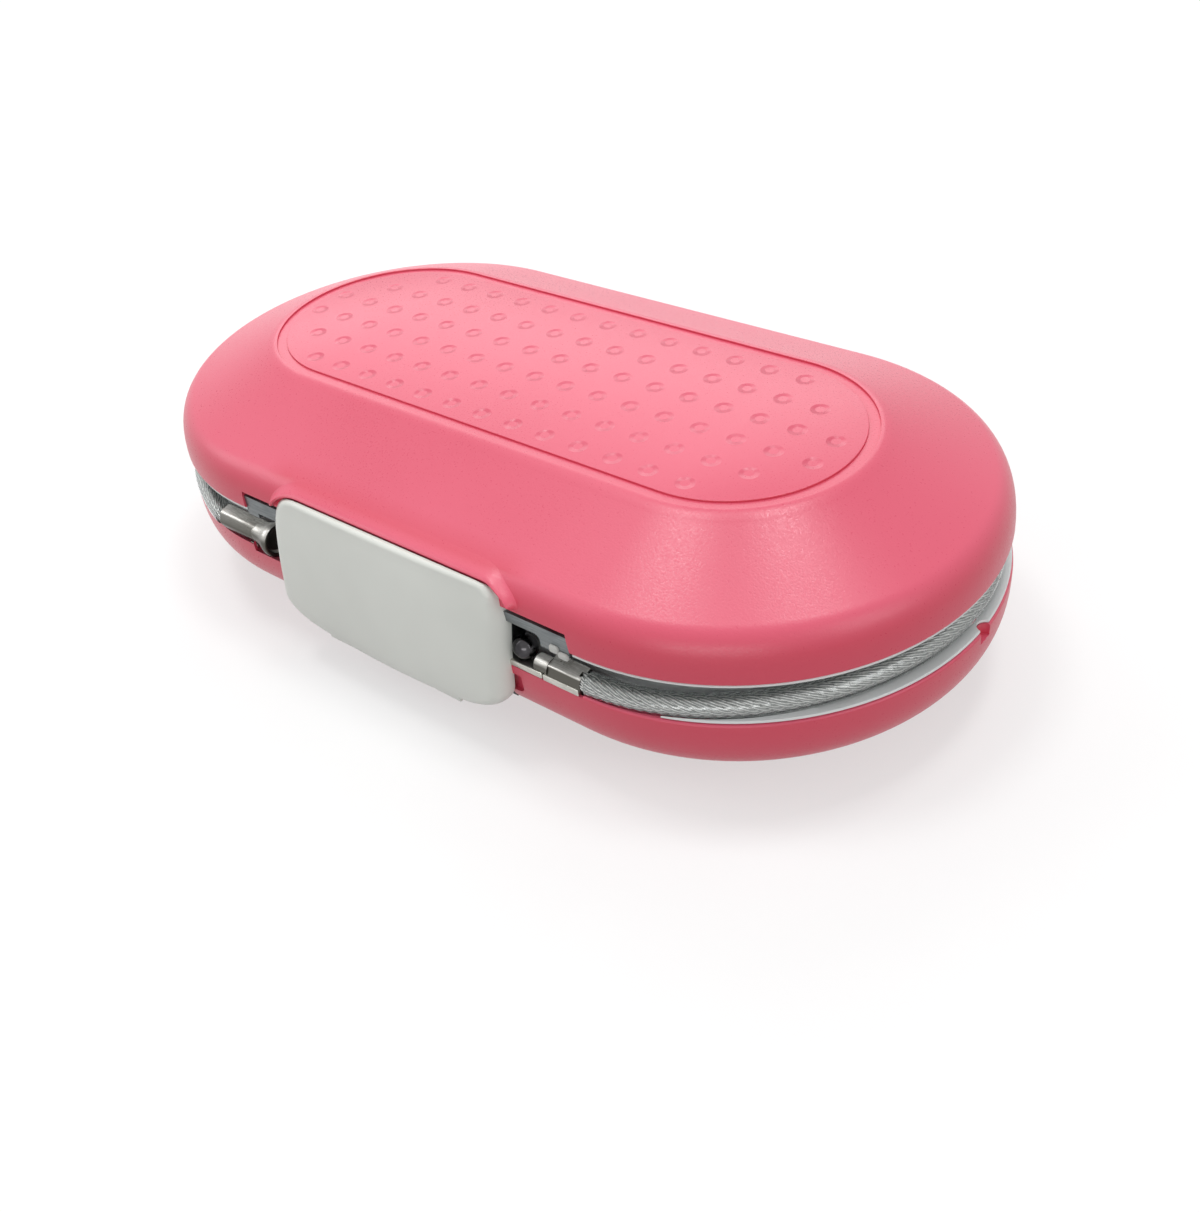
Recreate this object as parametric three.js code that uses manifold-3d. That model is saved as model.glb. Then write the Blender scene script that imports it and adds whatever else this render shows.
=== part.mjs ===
// A medication lock box: a clam-shaped case with a four-wheel combination lock behind a
// drop-down cover, and a steel cable stowed in the groove between lid and base.
// Millimetres. +X runs along the length, -Y is the lock side, +Z is up, and the origin is
// the centre of the flat face that the box stands on.
import * as THREE from "three";
import { mergeVertices } from "three/addons/utils/BufferGeometryUtils.js";
import Module from "manifold-3d";

const wasm = await Module();
wasm.setup();

// Driving dimensions of the case. Its height is the base's depth, the gap between the two
// rims and the lid's depth. Its length is what the lock and the cable's fittings need.
const bodyWidth = 130;
const baseRimHeight = 27.4;
const rimGap = 11;
const lidDepth = 22.6;
const lidRimInset = 0.6;
const faceRadius = 33.4;
const baseShoulderInset = 7.5;
const lidShoulderInset = 5.4;
const shoulderDrop = 10.5;
const rimStraight = 3.4;
const shellWall = 2.4;
const linerWall = 2;

// Gaps, cuts and joins that every piece shares.
const clearance = 0.3;
const runningGap = 0.09;
const overrun = 6;
const weld = 0.5;
const arcSteps = 18;
const bendSteps = 7;
const curveSteps = 5;

// The ring groove for the cable, and the two liner flanges that close its top and bottom.
const grooveDepth = 8;
const flangeThickness = 0.7;
const flangeInset = 0.4;
const rimNotchRadius = 2.2;
const rimNotchDepth = 3;

// The lid's steel plate: its strap and web, and its ends before the barrels' ends.
const strapDrop = 2.7;
const shelfThickness = 1.4;
const webGap = 1;
const plateLeftInset = 3.8;
const plateRightInset = 2;

// Heights and radii that follow from these.
const rimRadius = bodyWidth / 2;
const lidRimRadius = rimRadius - lidRimInset;
const baseShoulderRadius = rimRadius - baseShoulderInset;
const lidShoulderRadius = lidRimRadius - lidShoulderInset;
const lidRimHeight = baseRimHeight + rimGap;
const bodyHeight = lidRimHeight + lidDepth;
const partingHeight = (baseRimHeight + lidRimHeight) / 2;
const grooveWallRadius = rimRadius - grooveDepth;
const linerRadius = grooveWallRadius - linerWall;
const grooveFloor = baseRimHeight + clearance + flangeThickness;
const grooveCeiling = lidRimHeight - clearance - flangeThickness;

// The lock group: its own centre line, its frame and its height in the case.
const lockCentre = -2.3;
const lockInset = 3.4;
const lockFloorRise = 2.3;
const facePlateThickness = 1.4;
const chassisWall = 1.4;
const chassisEndWall = 3;
const frameInset = 0.5;
const lockBottom = shoulderDrop + lockFloorRise;
const lidWebTop = bodyHeight - shoulderDrop - shellWall - strapDrop;
const lidWebLow = lidWebTop - shelfThickness;
const lockTop = lidWebLow - webGap;
const lockFront = rimRadius - lockInset;

// Its screws.
const screwRadius = 1.2;
const screwHeadRadius = 2.4;
const screwHeadHeight = 1.4;
const screwWallGap = 0.6;
const screwStripGap = 1.6;

// Its dials stand in a row from the left, then comes a bulkhead and then the button.
const shaftDrop = 0.9;
const shaftRadius = 2;
const dialRadius = 8;
const dialWidth = 6.4;
const dialCount = 4;
const dialReach = 1;
const dialRoom = 0.6;
const dialEndRoom = 4.8;
const tumblerThickness = 1.4;
const tumblerRoom = 1.6;
const bulkheadRoom = 2.1;
const bulkheadWall = 2;
const buttonRoomBefore = 2.8;
const buttonRoomAfter = 1.8;
const buttonWidth = 10;
const buttonHeight = 12;
const buttonFlange = 1.2;
const buttonTravel = 2;
const dialPitch = dialWidth + 2 * clearance + tumblerThickness + tumblerRoom;
const dialRun = (dialCount - 1) * dialPitch + dialWidth + clearance + tumblerThickness;
const buttonRun = buttonWidth + 2 * buttonFlange;
const lockInnerWidth =
  dialEndRoom + dialRun + bulkheadRoom + bulkheadWall + buttonRoomBefore + buttonRun + buttonRoomAfter;
const lockHalfWidth = lockInnerWidth / 2 + chassisEndWall + frameInset;
const firstDial = dialEndRoom + dialWidth / 2 - lockInnerWidth / 2;
const bulkheadPlace = firstDial - dialWidth / 2 + dialRun + bulkheadRoom;
const buttonPlace = bulkheadPlace + bulkheadWall + buttonRoomBefore + buttonRun / 2;
const shaftOffset = lockFront - dialRadius + dialReach;
const shaftHeight = (lockBottom + lockTop) / 2 - shaftDrop;
const lockBack = shaftOffset - dialRadius - dialRoom - chassisWall;

// Its latch bar.
const latchInset = 3.85;
const latchWidth = 2.5;
const latchThickness = 2;
const latchDrop = 1.7;
const latchCentre = shaftOffset - latchInset;
const latchTop = lockTop - latchDrop;
const latchLow = latchTop - latchThickness;
const latchFront = latchCentre + latchWidth / 2;
const latchBack = latchCentre - latchWidth / 2;

// The cable and its end fittings. From the lock's end outwards come ball, neck and barrel.
const jacketRadius = 2.8;
const ropeRadius = 2.3;
const ropeGap = 0.15;
const cradleGap = 0.2;
const cableWallGap = 0.4;
const cableSteps = 56;
const cableSides = 10;
const fittingInset = 2.7;
const fittingRise = 2.4;
const fittingLead = 1.2;
const barrelRadius = 3.1;
const barrelLength = 9.2;
const leftBarrelRadius = 3.5;
const leftBarrelOverhang = 9.6;
const barrelBoreDepth = 7.4;
const ropeEndGap = 0.6;
const neckLength = 3;
const ballRadius = 3.05;
const ballLockGap = 3.15;
const ballNeckGap = 2.55;
const ballInset = 0.3;
const ballRise = 1.9;
const bellRadius = 5.1;
const bellLength = 5;
const seatThickness = 1.2;
const seatDepth = 5;
const cableTurnRadius = grooveWallRadius + cableWallGap + jacketRadius;
const cableHeight = grooveFloor + jacketRadius + clearance;
const fittingOffset = rimRadius - fittingInset;
const fittingHeight = baseRimHeight + fittingRise;
const ballPlace = lockCentre + lockHalfWidth + ballLockGap + ballRadius;
const ballOffset = fittingOffset - ballInset;
const ballHeight = fittingHeight + ballRise;
const barrelEnd = ballPlace + ballRadius + ballNeckGap + neckLength + barrelLength;
const halfStraight = barrelEnd - fittingLead;
const leftBarrelEnd = barrelEnd + leftBarrelOverhang;
const bodyLength = 2 * (halfStraight + rimRadius);
const plateLeftEnd = barrelEnd - plateLeftInset;
const plateRightEnd = barrelEnd - plateRightInset;

// The cover over the wheels, and the ears on the base that carry its pin.
const coverSideMargin = 3.5;
const coverTopRise = 5;
const coverFootDrop = 3.5;
const coverHingeDrop = 0.6;
const coverHingeInset = 1;
const coverFrontReach = 2.8;
const coverLean = 3.3;
const coverShoulderDrop = 7;
const coverBulgeRise = 8.3;
const coverWall = 2.2;
const coverTopCorner = 6;
const coverLowCorner = 10;
const coverBottomRise = 7;
const coverGap = 0.4;
const coverKnuckleRadius = 1.8;
const coverKnuckleWidth = 8;
const coverPinRadius = 1;
const coverPinOverhang = 1;
const lugPlace = 10;
const lugWidth = 6;
const lugKnuckleGap = 2;
const browWidth = 1.8;
const browRaise = 1.6;
const browDrop = 3.5;
const coverHalfWidth = lockHalfWidth + coverSideMargin;
const coverHingeOffset = rimRadius - coverHingeInset;
const coverHingeHeight = lockBottom - coverHingeDrop;
const coverTop = lockTop + coverTopRise;
const coverBottom = coverHingeHeight - coverFootDrop;
const coverTopFront = rimRadius + coverFrontReach;
const coverBulge = coverTopFront + coverLean;
const coverShoulderHeight = coverTop - coverShoulderDrop;
const coverBulgeHeight = coverBottom + coverBulgeRise;
const coverKnucklePlace = lugPlace + lugWidth / 2 + lugKnuckleGap + coverKnuckleWidth / 2;
const coverPinHalfLength = coverKnucklePlace + coverKnuckleWidth / 2 + coverPinOverhang;
const browStart = coverTop - browDrop;

// The lid's hinge at the back.
const hingeKnuckleRadius = 3;
const hingePinRadius = 1.25;
const hingeSpan = 48;
const hingeKnuckles = 5;
const hingeInset = 0.7;
const hingeCableGap = 0.6;
const hingeOffset = rimRadius - hingeInset - hingeKnuckleRadius;
const hingeHeight = partingHeight;
const hingeCableOffset = hingeOffset - hingeKnuckleRadius - hingeCableGap - jacketRadius;

// The two halves. A half is drawn by its depth below its own flat face.
const baseHalf = {
  rim: rimRadius,
  shoulder: baseShoulderRadius,
  straight: rimStraight,
  depth: baseRimHeight,
  parting: partingHeight - clearance / 2,
  hangs: false,
};
const lidHalf = {
  rim: lidRimRadius,
  shoulder: lidShoulderRadius,
  straight: 0,
  depth: lidDepth,
  parting: bodyHeight - partingHeight - clearance / 2,
  hangs: true,
};

function finish(color, roughness, metalness = 0) {
  return new THREE.MeshStandardMaterial({ color, roughness, metalness });
}

// Closed surfaces to solids and back.

function solidOf(geometry) {
  geometry.deleteAttribute("normal");
  geometry.deleteAttribute("uv");
  const merged = mergeVertices(geometry, 1e-4);
  const index = merged.index.array;
  const kept = [];
  for (let i = 0; i < index.length; i += 3) {
    const [a, b, c] = [index[i], index[i + 1], index[i + 2]];
    if (a !== b && b !== c && c !== a) kept.push(a, b, c);
  }
  return new wasm.Manifold(
    new wasm.Mesh({
      numProp: 3,
      vertProperties: new Float32Array(merged.attributes.position.array),
      triVerts: new Uint32Array(kept),
    }),
  );
}

function geometryOf(solid) {
  const mesh = solid.getMesh();
  const geometry = new THREE.BufferGeometry();
  const positions = new Float32Array(mesh.numVert * 3);
  for (let i = 0; i < mesh.numVert; i += 1) {
    const start = i * mesh.numProp;
    positions.set(mesh.vertProperties.subarray(start, start + 3), i * 3);
  }
  geometry.setAttribute("position", new THREE.BufferAttribute(positions, 3));
  geometry.setIndex(new THREE.BufferAttribute(mesh.triVerts, 1));
  geometry.computeVertexNormals();
  return geometry;
}

function joined(...solids) {
  return solids.reduce((sum, next) => sum.add(next));
}

function cut(solid, ...tools) {
  return tools.reduce((left, tool) => left.subtract(tool), solid);
}

// A box given by its lowest and highest corners.
function block([x0, y0, z0], [x1, y1, z1]) {
  const box = new THREE.BoxGeometry(x1 - x0, y1 - y0, z1 - z0);
  box.translate((x0 + x1) / 2, (y0 + y1) / 2, (z0 + z1) / 2);
  return solidOf(box);
}

function outline(points) {
  return new THREE.Shape(points.map(([a, b]) => new THREE.Vector2(a, b)));
}

// Prisms along X, Y and Z. The shape's own axes are (Y, Z), (X, Z) and (X, Y).
const alongX = new THREE.Matrix4().set(0, 0, 1, 0, 1, 0, 0, 0, 0, 1, 0, 0, 0, 0, 0, 1);
const alongY = new THREE.Matrix4().set(1, 0, 0, 0, 0, 0, -1, 0, 0, 1, 0, 0, 0, 0, 0, 1);
const alongZ = new THREE.Matrix4();

function prism(shape, from, to, direction, steps = curveSteps) {
  const geometry = new THREE.ExtrudeGeometry(shape, {
    depth: to - from,
    bevelEnabled: false,
    curveSegments: steps,
  });
  geometry.translate(0, 0, direction === alongY ? -to : from);
  geometry.applyMatrix4(direction);
  return solidOf(geometry);
}

// A round bar between two places on one axis; the centre is given across that axis.
function bar(radius, from, to, [a, b], direction, sides = 12) {
  const shape = new THREE.Shape();
  shape.absarc(a, b, radius, 0, Math.PI * 2);
  return prism(shape, Math.min(from, to), Math.max(from, to), direction, sides / 2);
}

// A closed profile of [radius, height] points, swept round the racetrack plan of the case.
function racetrack(profile) {
  const rings = [];
  for (const side of [1, -1]) {
    for (let step = 0; step <= arcSteps; step += 1) {
      const angle = Math.PI * (step / arcSteps - 0.5) + (side < 0 ? Math.PI : 0);
      rings.push([side * halfStraight, Math.cos(angle), Math.sin(angle)]);
    }
  }
  const positions = rings.flatMap(([centre, cosine, sine]) =>
    profile.flatMap(([radius, height]) => [centre + radius * cosine, radius * sine, height]),
  );
  const size = profile.length;
  const area = profile.reduce((sum, [r, z], i) => {
    const [nextR, nextZ] = profile[(i + 1) % size];
    return sum + r * nextZ - nextR * z;
  }, 0);
  const index = [];
  rings.forEach((ring, j) => {
    const next = (j + 1) % rings.length;
    for (let i = 0; i < size; i += 1) {
      const k = (i + 1) % size;
      const quad = [j * size + i, next * size + i, next * size + k, j * size + k];
      if (area > 0) quad.reverse();
      index.push(quad[0], quad[2], quad[1], quad[0], quad[3], quad[2]);
    }
  });
  const geometry = new THREE.BufferGeometry();
  geometry.setAttribute("position", new THREE.Float32BufferAttribute(positions, 3));
  geometry.setIndex(index);
  return solidOf(geometry);
}

// The outer skin of one half, from the middle of its flat face out to its rim.
// Each point is [radius, depth below the flat face].
function skinLine(half) {
  const slope = shoulderDrop / (half.shoulder - faceRadius);
  const cornerDepth = shoulderDrop + slope * (half.rim - half.shoulder);
  const bend = new THREE.QuadraticBezierCurve(
    new THREE.Vector2(half.shoulder, shoulderDrop),
    new THREE.Vector2(half.rim, cornerDepth),
    new THREE.Vector2(half.rim, half.depth - half.straight),
  );
  const line = [[0, 0], [faceRadius, 0], ...bend.getPoints(bendSteps).map((p) => [p.x, p.y])];
  if (half.straight > 0) line.push([half.rim, half.depth]);
  return line;
}

// The same line moved inwards by one thickness.
function insetLine(line, thickness) {
  const normals = line.slice(1).map(([r, d], i) => {
    const along = new THREE.Vector2(r - line[i][0], d - line[i][1]).normalize();
    return new THREE.Vector2(-along.y, along.x);
  });
  return line.map(([r, d], i) => {
    const before = normals[Math.max(i - 1, 0)];
    const after = normals[Math.min(i, normals.length - 1)];
    const reach = thickness / (1 + before.dot(after));
    const moved = [r + (before.x + after.x) * reach, d + (before.y + after.y) * reach];
    return i === 0 ? [0, moved[1]] : moved;
  });
}

function heightOf(half, depth) {
  return half.hangs ? bodyHeight - depth : depth;
}

// A full body under a skin line, closed at the given depth.
function filled(half, line, depth) {
  const last = line[line.length - 1];
  const profile = [...line.slice(0, -1), [last[0], depth], [0, depth]];
  return racetrack(profile.map(([r, d]) => [r, heightOf(half, d)]));
}

function shellBody(half) {
  const skin = skinLine(half);
  return {
    outer: filled(half, skin, half.depth),
    inner: filled(half, insetLine(skin, shellWall), half.depth + overrun),
  };
}

// A block of one half, its last pair of limits given as depths.
function slab(half, [x0, x1], [y0, y1], [d0, d1]) {
  const low = Math.min(heightOf(half, d0), heightOf(half, d1));
  const high = Math.max(heightOf(half, d0), heightOf(half, d1));
  return block([x0, y0, low], [x1, y1, high]);
}

// Room for the lock, open at the front of the case.
const recessMargin = 1.9;
const recessBack = lockBack - 0.4;
const windowMargin = 1.2;
const windowDrop = 0.5;

function lockRoom(halfWidth, back, low, high) {
  return block(
    [lockCentre - halfWidth, -rimRadius - overrun, low],
    [lockCentre + halfWidth, -back, high],
  );
}

// The tray of one half: floor, wall up to the parting plane and a flange over the shell's rim.
// At the back a straight pocket lets the cable pass inside the hinge, and at the front the
// tray is walled off round the lock.
const pocketInset = 2.2;

function linerBody(half) {
  const slope = shoulderDrop / (half.shoulder - faceRadius);
  const lean = Math.hypot(1, slope);
  const under = shellWall + clearance;
  const over = under + linerWall;
  const coneDepth = (r, inset) => slope * (r - faceRadius) + inset * lean;
  const coneRadius = (d, inset) => faceRadius + (d - inset * lean) / slope;
  const flangeRadius = half.rim - flangeInset;
  const flangeLow = half.depth + clearance;
  const flangeHigh = flangeLow + flangeThickness;
  const place = ([r, d]) => [r, heightOf(half, d)];
  const floorLine = [
    [0, under],
    [coneRadius(under, under), under],
    [grooveWallRadius, coneDepth(grooveWallRadius, under)],
  ];
  const tray = racetrack(
    [
      ...floorLine,
      [grooveWallRadius, flangeLow],
      [flangeRadius, flangeLow],
      [flangeRadius, flangeHigh],
      [grooveWallRadius, flangeHigh],
      [grooveWallRadius, half.parting],
      [linerRadius, half.parting],
      [linerRadius, coneDepth(linerRadius, over)],
      [coneRadius(over, over), over],
      [0, over],
    ].map(place),
  );
  const envelope = racetrack(
    [...floorLine, [grooveWallRadius, half.parting], [0, half.parting]].map(place),
  );

  const inner = halfStraight - pocketInset;
  const outer = inner + linerWall;
  const face = hingeCableOffset - jacketRadius - clearance;
  const pocket = slab(half, [-inner, inner], [face, rimRadius], [flangeHigh, bodyHeight]);
  const wall = slab(
    half,
    [-outer, outer],
    [face - linerWall, grooveWallRadius],
    [flangeLow, half.parting],
  );
  const ledge = slab(
    half,
    [-outer, outer],
    [face - linerWall / 2, flangeRadius],
    [flangeLow, flangeHigh],
  );
  const back = joined(cut(tray, pocket), cut(wall.intersect(envelope), pocket), ledge);

  const halfWidth = lockHalfWidth + recessMargin;
  const screen = lockRoom(halfWidth + linerWall, recessBack - linerWall, 0, bodyHeight);
  return cut(
    joined(back, screen.intersect(envelope)),
    lockRoom(halfWidth, recessBack, 0, bodyHeight),
  );
}

const group = new THREE.Group();

function add(name, solid, material) {
  const mesh = new THREE.Mesh(geometryOf(solid), material.clone());
  mesh.name = name;
  group.add(mesh);
}

// Hinge between the halves: the base carries the even knuckles, the lid the odd ones.

const hingePlace = [hingeOffset, hingeHeight];
const hingeWebInset = 1;
const hingeWebRun = 5;

function knuckleSpans(owner) {
  const pitch = hingeSpan / hingeKnuckles;
  return Array.from({ length: hingeKnuckles }, (_, i) => i)
    .filter((i) => i % 2 === owner)
    .map((i) => [-hingeSpan / 2 + i * pitch, -hingeSpan / 2 + (i + 1) * pitch]);
}

function hingeKnuckleSet(owner, rimHeight) {
  const foot = rimHeight + Math.sign(rimHeight - hingeHeight) * hingeWebRun;
  const solids = knuckleSpans(owner).map(([start, end]) => {
    const from = start + clearance / 2;
    const to = end - clearance / 2;
    const barrel = bar(hingeKnuckleRadius, from, to, hingePlace, alongX);
    const web = block(
      [from, hingeOffset - hingeWebInset, Math.min(hingeHeight, foot)],
      [to, hingeOffset + hingeKnuckleRadius, Math.max(hingeHeight, foot)],
    );
    return barrel.add(web);
  });
  const bore = bar(
    hingePinRadius + runningGap,
    -hingeSpan / 2 - overrun,
    hingeSpan / 2 + overrun,
    hingePlace,
    alongX,
  );
  return { knuckles: joined(...solids), bore };
}

// Slots in a liner's flange for the knuckle webs of its own half.
function hingeSlots(owner, low, high) {
  return knuckleSpans(owner).map(([from, to]) =>
    block(
      [from - clearance / 2, hingeOffset - hingeWebInset - clearance, low],
      [to + clearance / 2, rimRadius + overrun, high],
    ),
  );
}

// Semicircular notches at both tips of the base rim.
function tipNotches() {
  return [-1, 1].map((side) =>
    bar(
      rimNotchRadius,
      baseRimHeight - rimNotchDepth,
      baseRimHeight + overrun,
      [side * (bodyLength / 2), 0],
      alongZ,
      8,
    ),
  );
}

// Base shell.

const bossRadius = 3.2;
const bossHoleDepth = 2.6;
const chassisScrewPlace = lockInnerWidth / 2 - screwHeadRadius - screwWallGap;
const chassisScrewOffset = lockBack + chassisWall + screwHeadRadius + screwStripGap;
const seatFloor = fittingHeight - leftBarrelRadius - seatThickness - 2 * clearance;

function chassisScrewPlaces() {
  return [-1, 1].map((side) => [lockCentre + side * chassisScrewPlace, -chassisScrewOffset]);
}

function baseShell() {
  const { outer, inner } = shellBody(baseHalf);
  const { knuckles, bore } = hingeKnuckleSet(0, baseRimHeight);
  const bossTop = lockBottom - clearance;
  const bosses = chassisScrewPlaces().map((place) =>
    bar(bossRadius, 0, bossTop, place, alongZ).intersect(outer),
  );
  const bossHoles = chassisScrewPlaces().map((place) =>
    bar(screwRadius + clearance, bossTop - bossHoleDepth, bossTop + overrun, place, alongZ),
  );
  const window = lockRoom(
    lockHalfWidth + windowMargin,
    recessBack,
    lockBottom - windowDrop,
    bodyHeight,
  );
  const seatEnd = barrelEnd + clearance;
  const seat = block(
    [-seatEnd, -rimRadius - overrun, seatFloor],
    [seatEnd, -rimRadius + shellWall + weld, bodyHeight],
  );
  const skin = cut(outer, inner, window, seat);
  const leftCradle = bar(
    leftBarrelRadius + clearance,
    -leftBarrelEnd - clearance,
    -barrelEnd,
    [-fittingOffset, fittingHeight],
    alongX,
  );
  return cut(
    joined(skin, knuckles, coverLugs(), ...bosses),
    bore,
    coverPinBore(),
    cableTube(jacketRadius + cradleGap),
    leftCradle,
    ...bossHoles,
    ...tipNotches(),
  );
}

// Ears on the base that carry the cover's pin.
const coverPlace = [-coverHingeOffset, coverHingeHeight];
const lugReach = 1;

function lugSpans() {
  return [-1, 1].map((side) => {
    const middle = lockCentre + side * lugPlace;
    return [middle - lugWidth / 2, middle + lugWidth / 2];
  });
}

function coverLugs() {
  const top = lockBottom - clearance;
  const web = outline([
    [-coverHingeOffset, coverHingeHeight - coverKnuckleRadius],
    [-baseShoulderRadius + lugReach, coverHingeHeight - coverKnuckleRadius],
    [-baseShoulderRadius + lugReach, top],
    [-coverHingeOffset, top],
  ]);
  const solids = lugSpans().map(([from, to]) =>
    prism(web, from, to, alongX).add(bar(coverKnuckleRadius, from, to, coverPlace, alongX)),
  );
  return joined(...solids);
}

function coverPinBore() {
  const reach = coverPinHalfLength + overrun;
  return bar(
    coverPinRadius + runningGap,
    lockCentre - reach,
    lockCentre + reach,
    coverPlace,
    alongX,
  );
}

// Base liner. Its flange stops short of the fittings, where the cable dips below it.
const flangeRun = 19;

function baseLiner() {
  const gapEnd = barrelEnd + flangeRun;
  const frontGap = block(
    [-gapEnd, -rimRadius - overrun, 0],
    [gapEnd, -grooveWallRadius, grooveFloor + weld],
  );
  return cut(
    linerBody(baseHalf),
    frontGap,
    cableTube(jacketRadius + cradleGap),
    ...hingeSlots(0, baseRimHeight, grooveFloor + weld),
    ...tipNotches(),
  );
}

// The outline of the dial cover, seen from the front, moved outwards by an allowance.
const bottomBowShare = 0.45;
const toeDipShare = 0.35;
const toeRiseShare = 0.5;

function coverOutline(grow) {
  const side = coverHalfWidth + grow;
  const top = coverTop + grow;
  const low = coverBottom - grow;
  const corner = coverTopCorner + grow;
  const toe = coverLowCorner + grow;
  const foot = low + coverBottomRise;
  const line = new THREE.Path();
  line.moveTo(0, low);
  line.quadraticCurveTo(side * bottomBowShare, low, side - toe, foot - toe * toeDipShare);
  line.quadraticCurveTo(side, foot, side, foot + toe * toeRiseShare);
  line.lineTo(side, top - corner);
  line.quadraticCurveTo(side, top, side - corner, top);
  const right = line.getPoints(curveSteps).map((p) => [p.x, p.y]);
  const left = right.slice(1).reverse().map(([x, z]) => [-x, z]);
  return outline([...right, ...left].map(([x, z]) => [lockCentre + x, z]));
}

// Lid shell: a shallow groove rings its flat face, and a raised brow follows the cover's top.
const panelGrooveWidth = 2.6;
const panelGrooveDepth = 0.6;

// Opening in the lid's rim for the steel plate over the cable fittings. It rises behind the
// cover, where the lock stands.
const earTopGap = 1.6;
const openingRise = 0.6;

function lockOpening() {
  return lockRoom(lockHalfWidth + windowMargin, lidShoulderRadius, 0, lockTop + clearance);
}

function plateOpening(back, top) {
  return block(
    [-plateLeftEnd - clearance, -rimRadius - overrun, 0],
    [plateRightEnd + clearance, -back, top],
  );
}

function lidShell() {
  const { outer, inner } = shellBody(lidHalf);
  const raised = filled(lidHalf, insetLine(skinLine(lidHalf), -browRaise), lidHalf.depth);
  const front = -rimRadius - overrun;
  const brow = cut(
    prism(coverOutline(coverGap + browWidth), front, -lidShoulderRadius, alongY),
    prism(coverOutline(coverGap), front - overrun, 0, alongY),
    block([-bodyLength, front - overrun, 0], [bodyLength, 0, browStart]),
  ).intersect(raised);
  const grooveOuter = faceRadius - clearance;
  const grooveInner = grooveOuter - panelGrooveWidth;
  const groove = racetrack([
    [grooveInner, bodyHeight - panelGrooveDepth],
    [grooveOuter, bodyHeight - panelGrooveDepth],
    [grooveOuter, bodyHeight + overrun],
    [grooveInner, bodyHeight + overrun],
  ]);
  const { knuckles, bore } = hingeKnuckleSet(1, lidRimHeight);
  const bossLow = lidWebTop + clearance;
  const bosses = lidScrewPlaces().map((place) =>
    bar(bossRadius, bossLow, bodyHeight, place, alongZ).intersect(outer),
  );
  const bossHoles = lidScrewPlaces().map((place) =>
    bar(screwRadius + clearance, bossLow - overrun, bossLow + lidScrewReach, place, alongZ),
  );
  const skin = cut(
    outer.add(brow),
    inner,
    plateOpening(lidShoulderRadius, lockTop - earTopGap + openingRise),
    lockOpening(),
    groove,
  );
  return cut(joined(skin, knuckles, ...bosses), bore, ...bossHoles);
}

// Lid liner.

function lidLiner() {
  return cut(
    linerBody(lidHalf),
    plateOpening(grooveWallRadius, lidWebTop),
    ...hingeSlots(1, grooveCeiling - weld, lidRimHeight),
  );
}

// Steel plate on the lid: two ears over the cable fittings, joined by a strap and a web.
const earReach = 1.3;
const earThickness = 1.5;
const earBarrelGap = 1;
const earGap = 0.9;
const strapInset = 1.1;
const earFront = lockFront + earReach;
const earLow = fittingHeight + barrelRadius + earBarrelGap;
const strapFront = lockFront - strapInset;
const strapBack = strapFront - shelfThickness;
const archGap = 1.1;
const bellArchGap = 0.5;
const bellArchInset = 1.5;
const bellSlotInset = 4;
const bellSlotRise = 3;
const stopWidth = 5;
const stopInset = 2.6;
const stopReach = 1.1;
const stopLift = 0.6;
const stopHeight = 2.5;
const webInset = 1;
const webBack = latchBack - clearance;
const strikeThickness = 2;
const strikeDrop = 2.1;
const strikeLead = 6;
const strikeStep = 1;
const strikePlaces = [firstDial + strikeLead, bulkheadPlace + strikeStep];
const lidScrewEndInset = 7.5;
const lidScrewPlace = lockHalfWidth - lidScrewEndInset;
const lidScrewInset = 4.6;
const lidScrewReach = 3.1;

function lidScrewPlaces() {
  return [-1, 1].map((side) => [lockCentre + side * lidScrewPlace, lidScrewInset - strapBack]);
}

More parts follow.
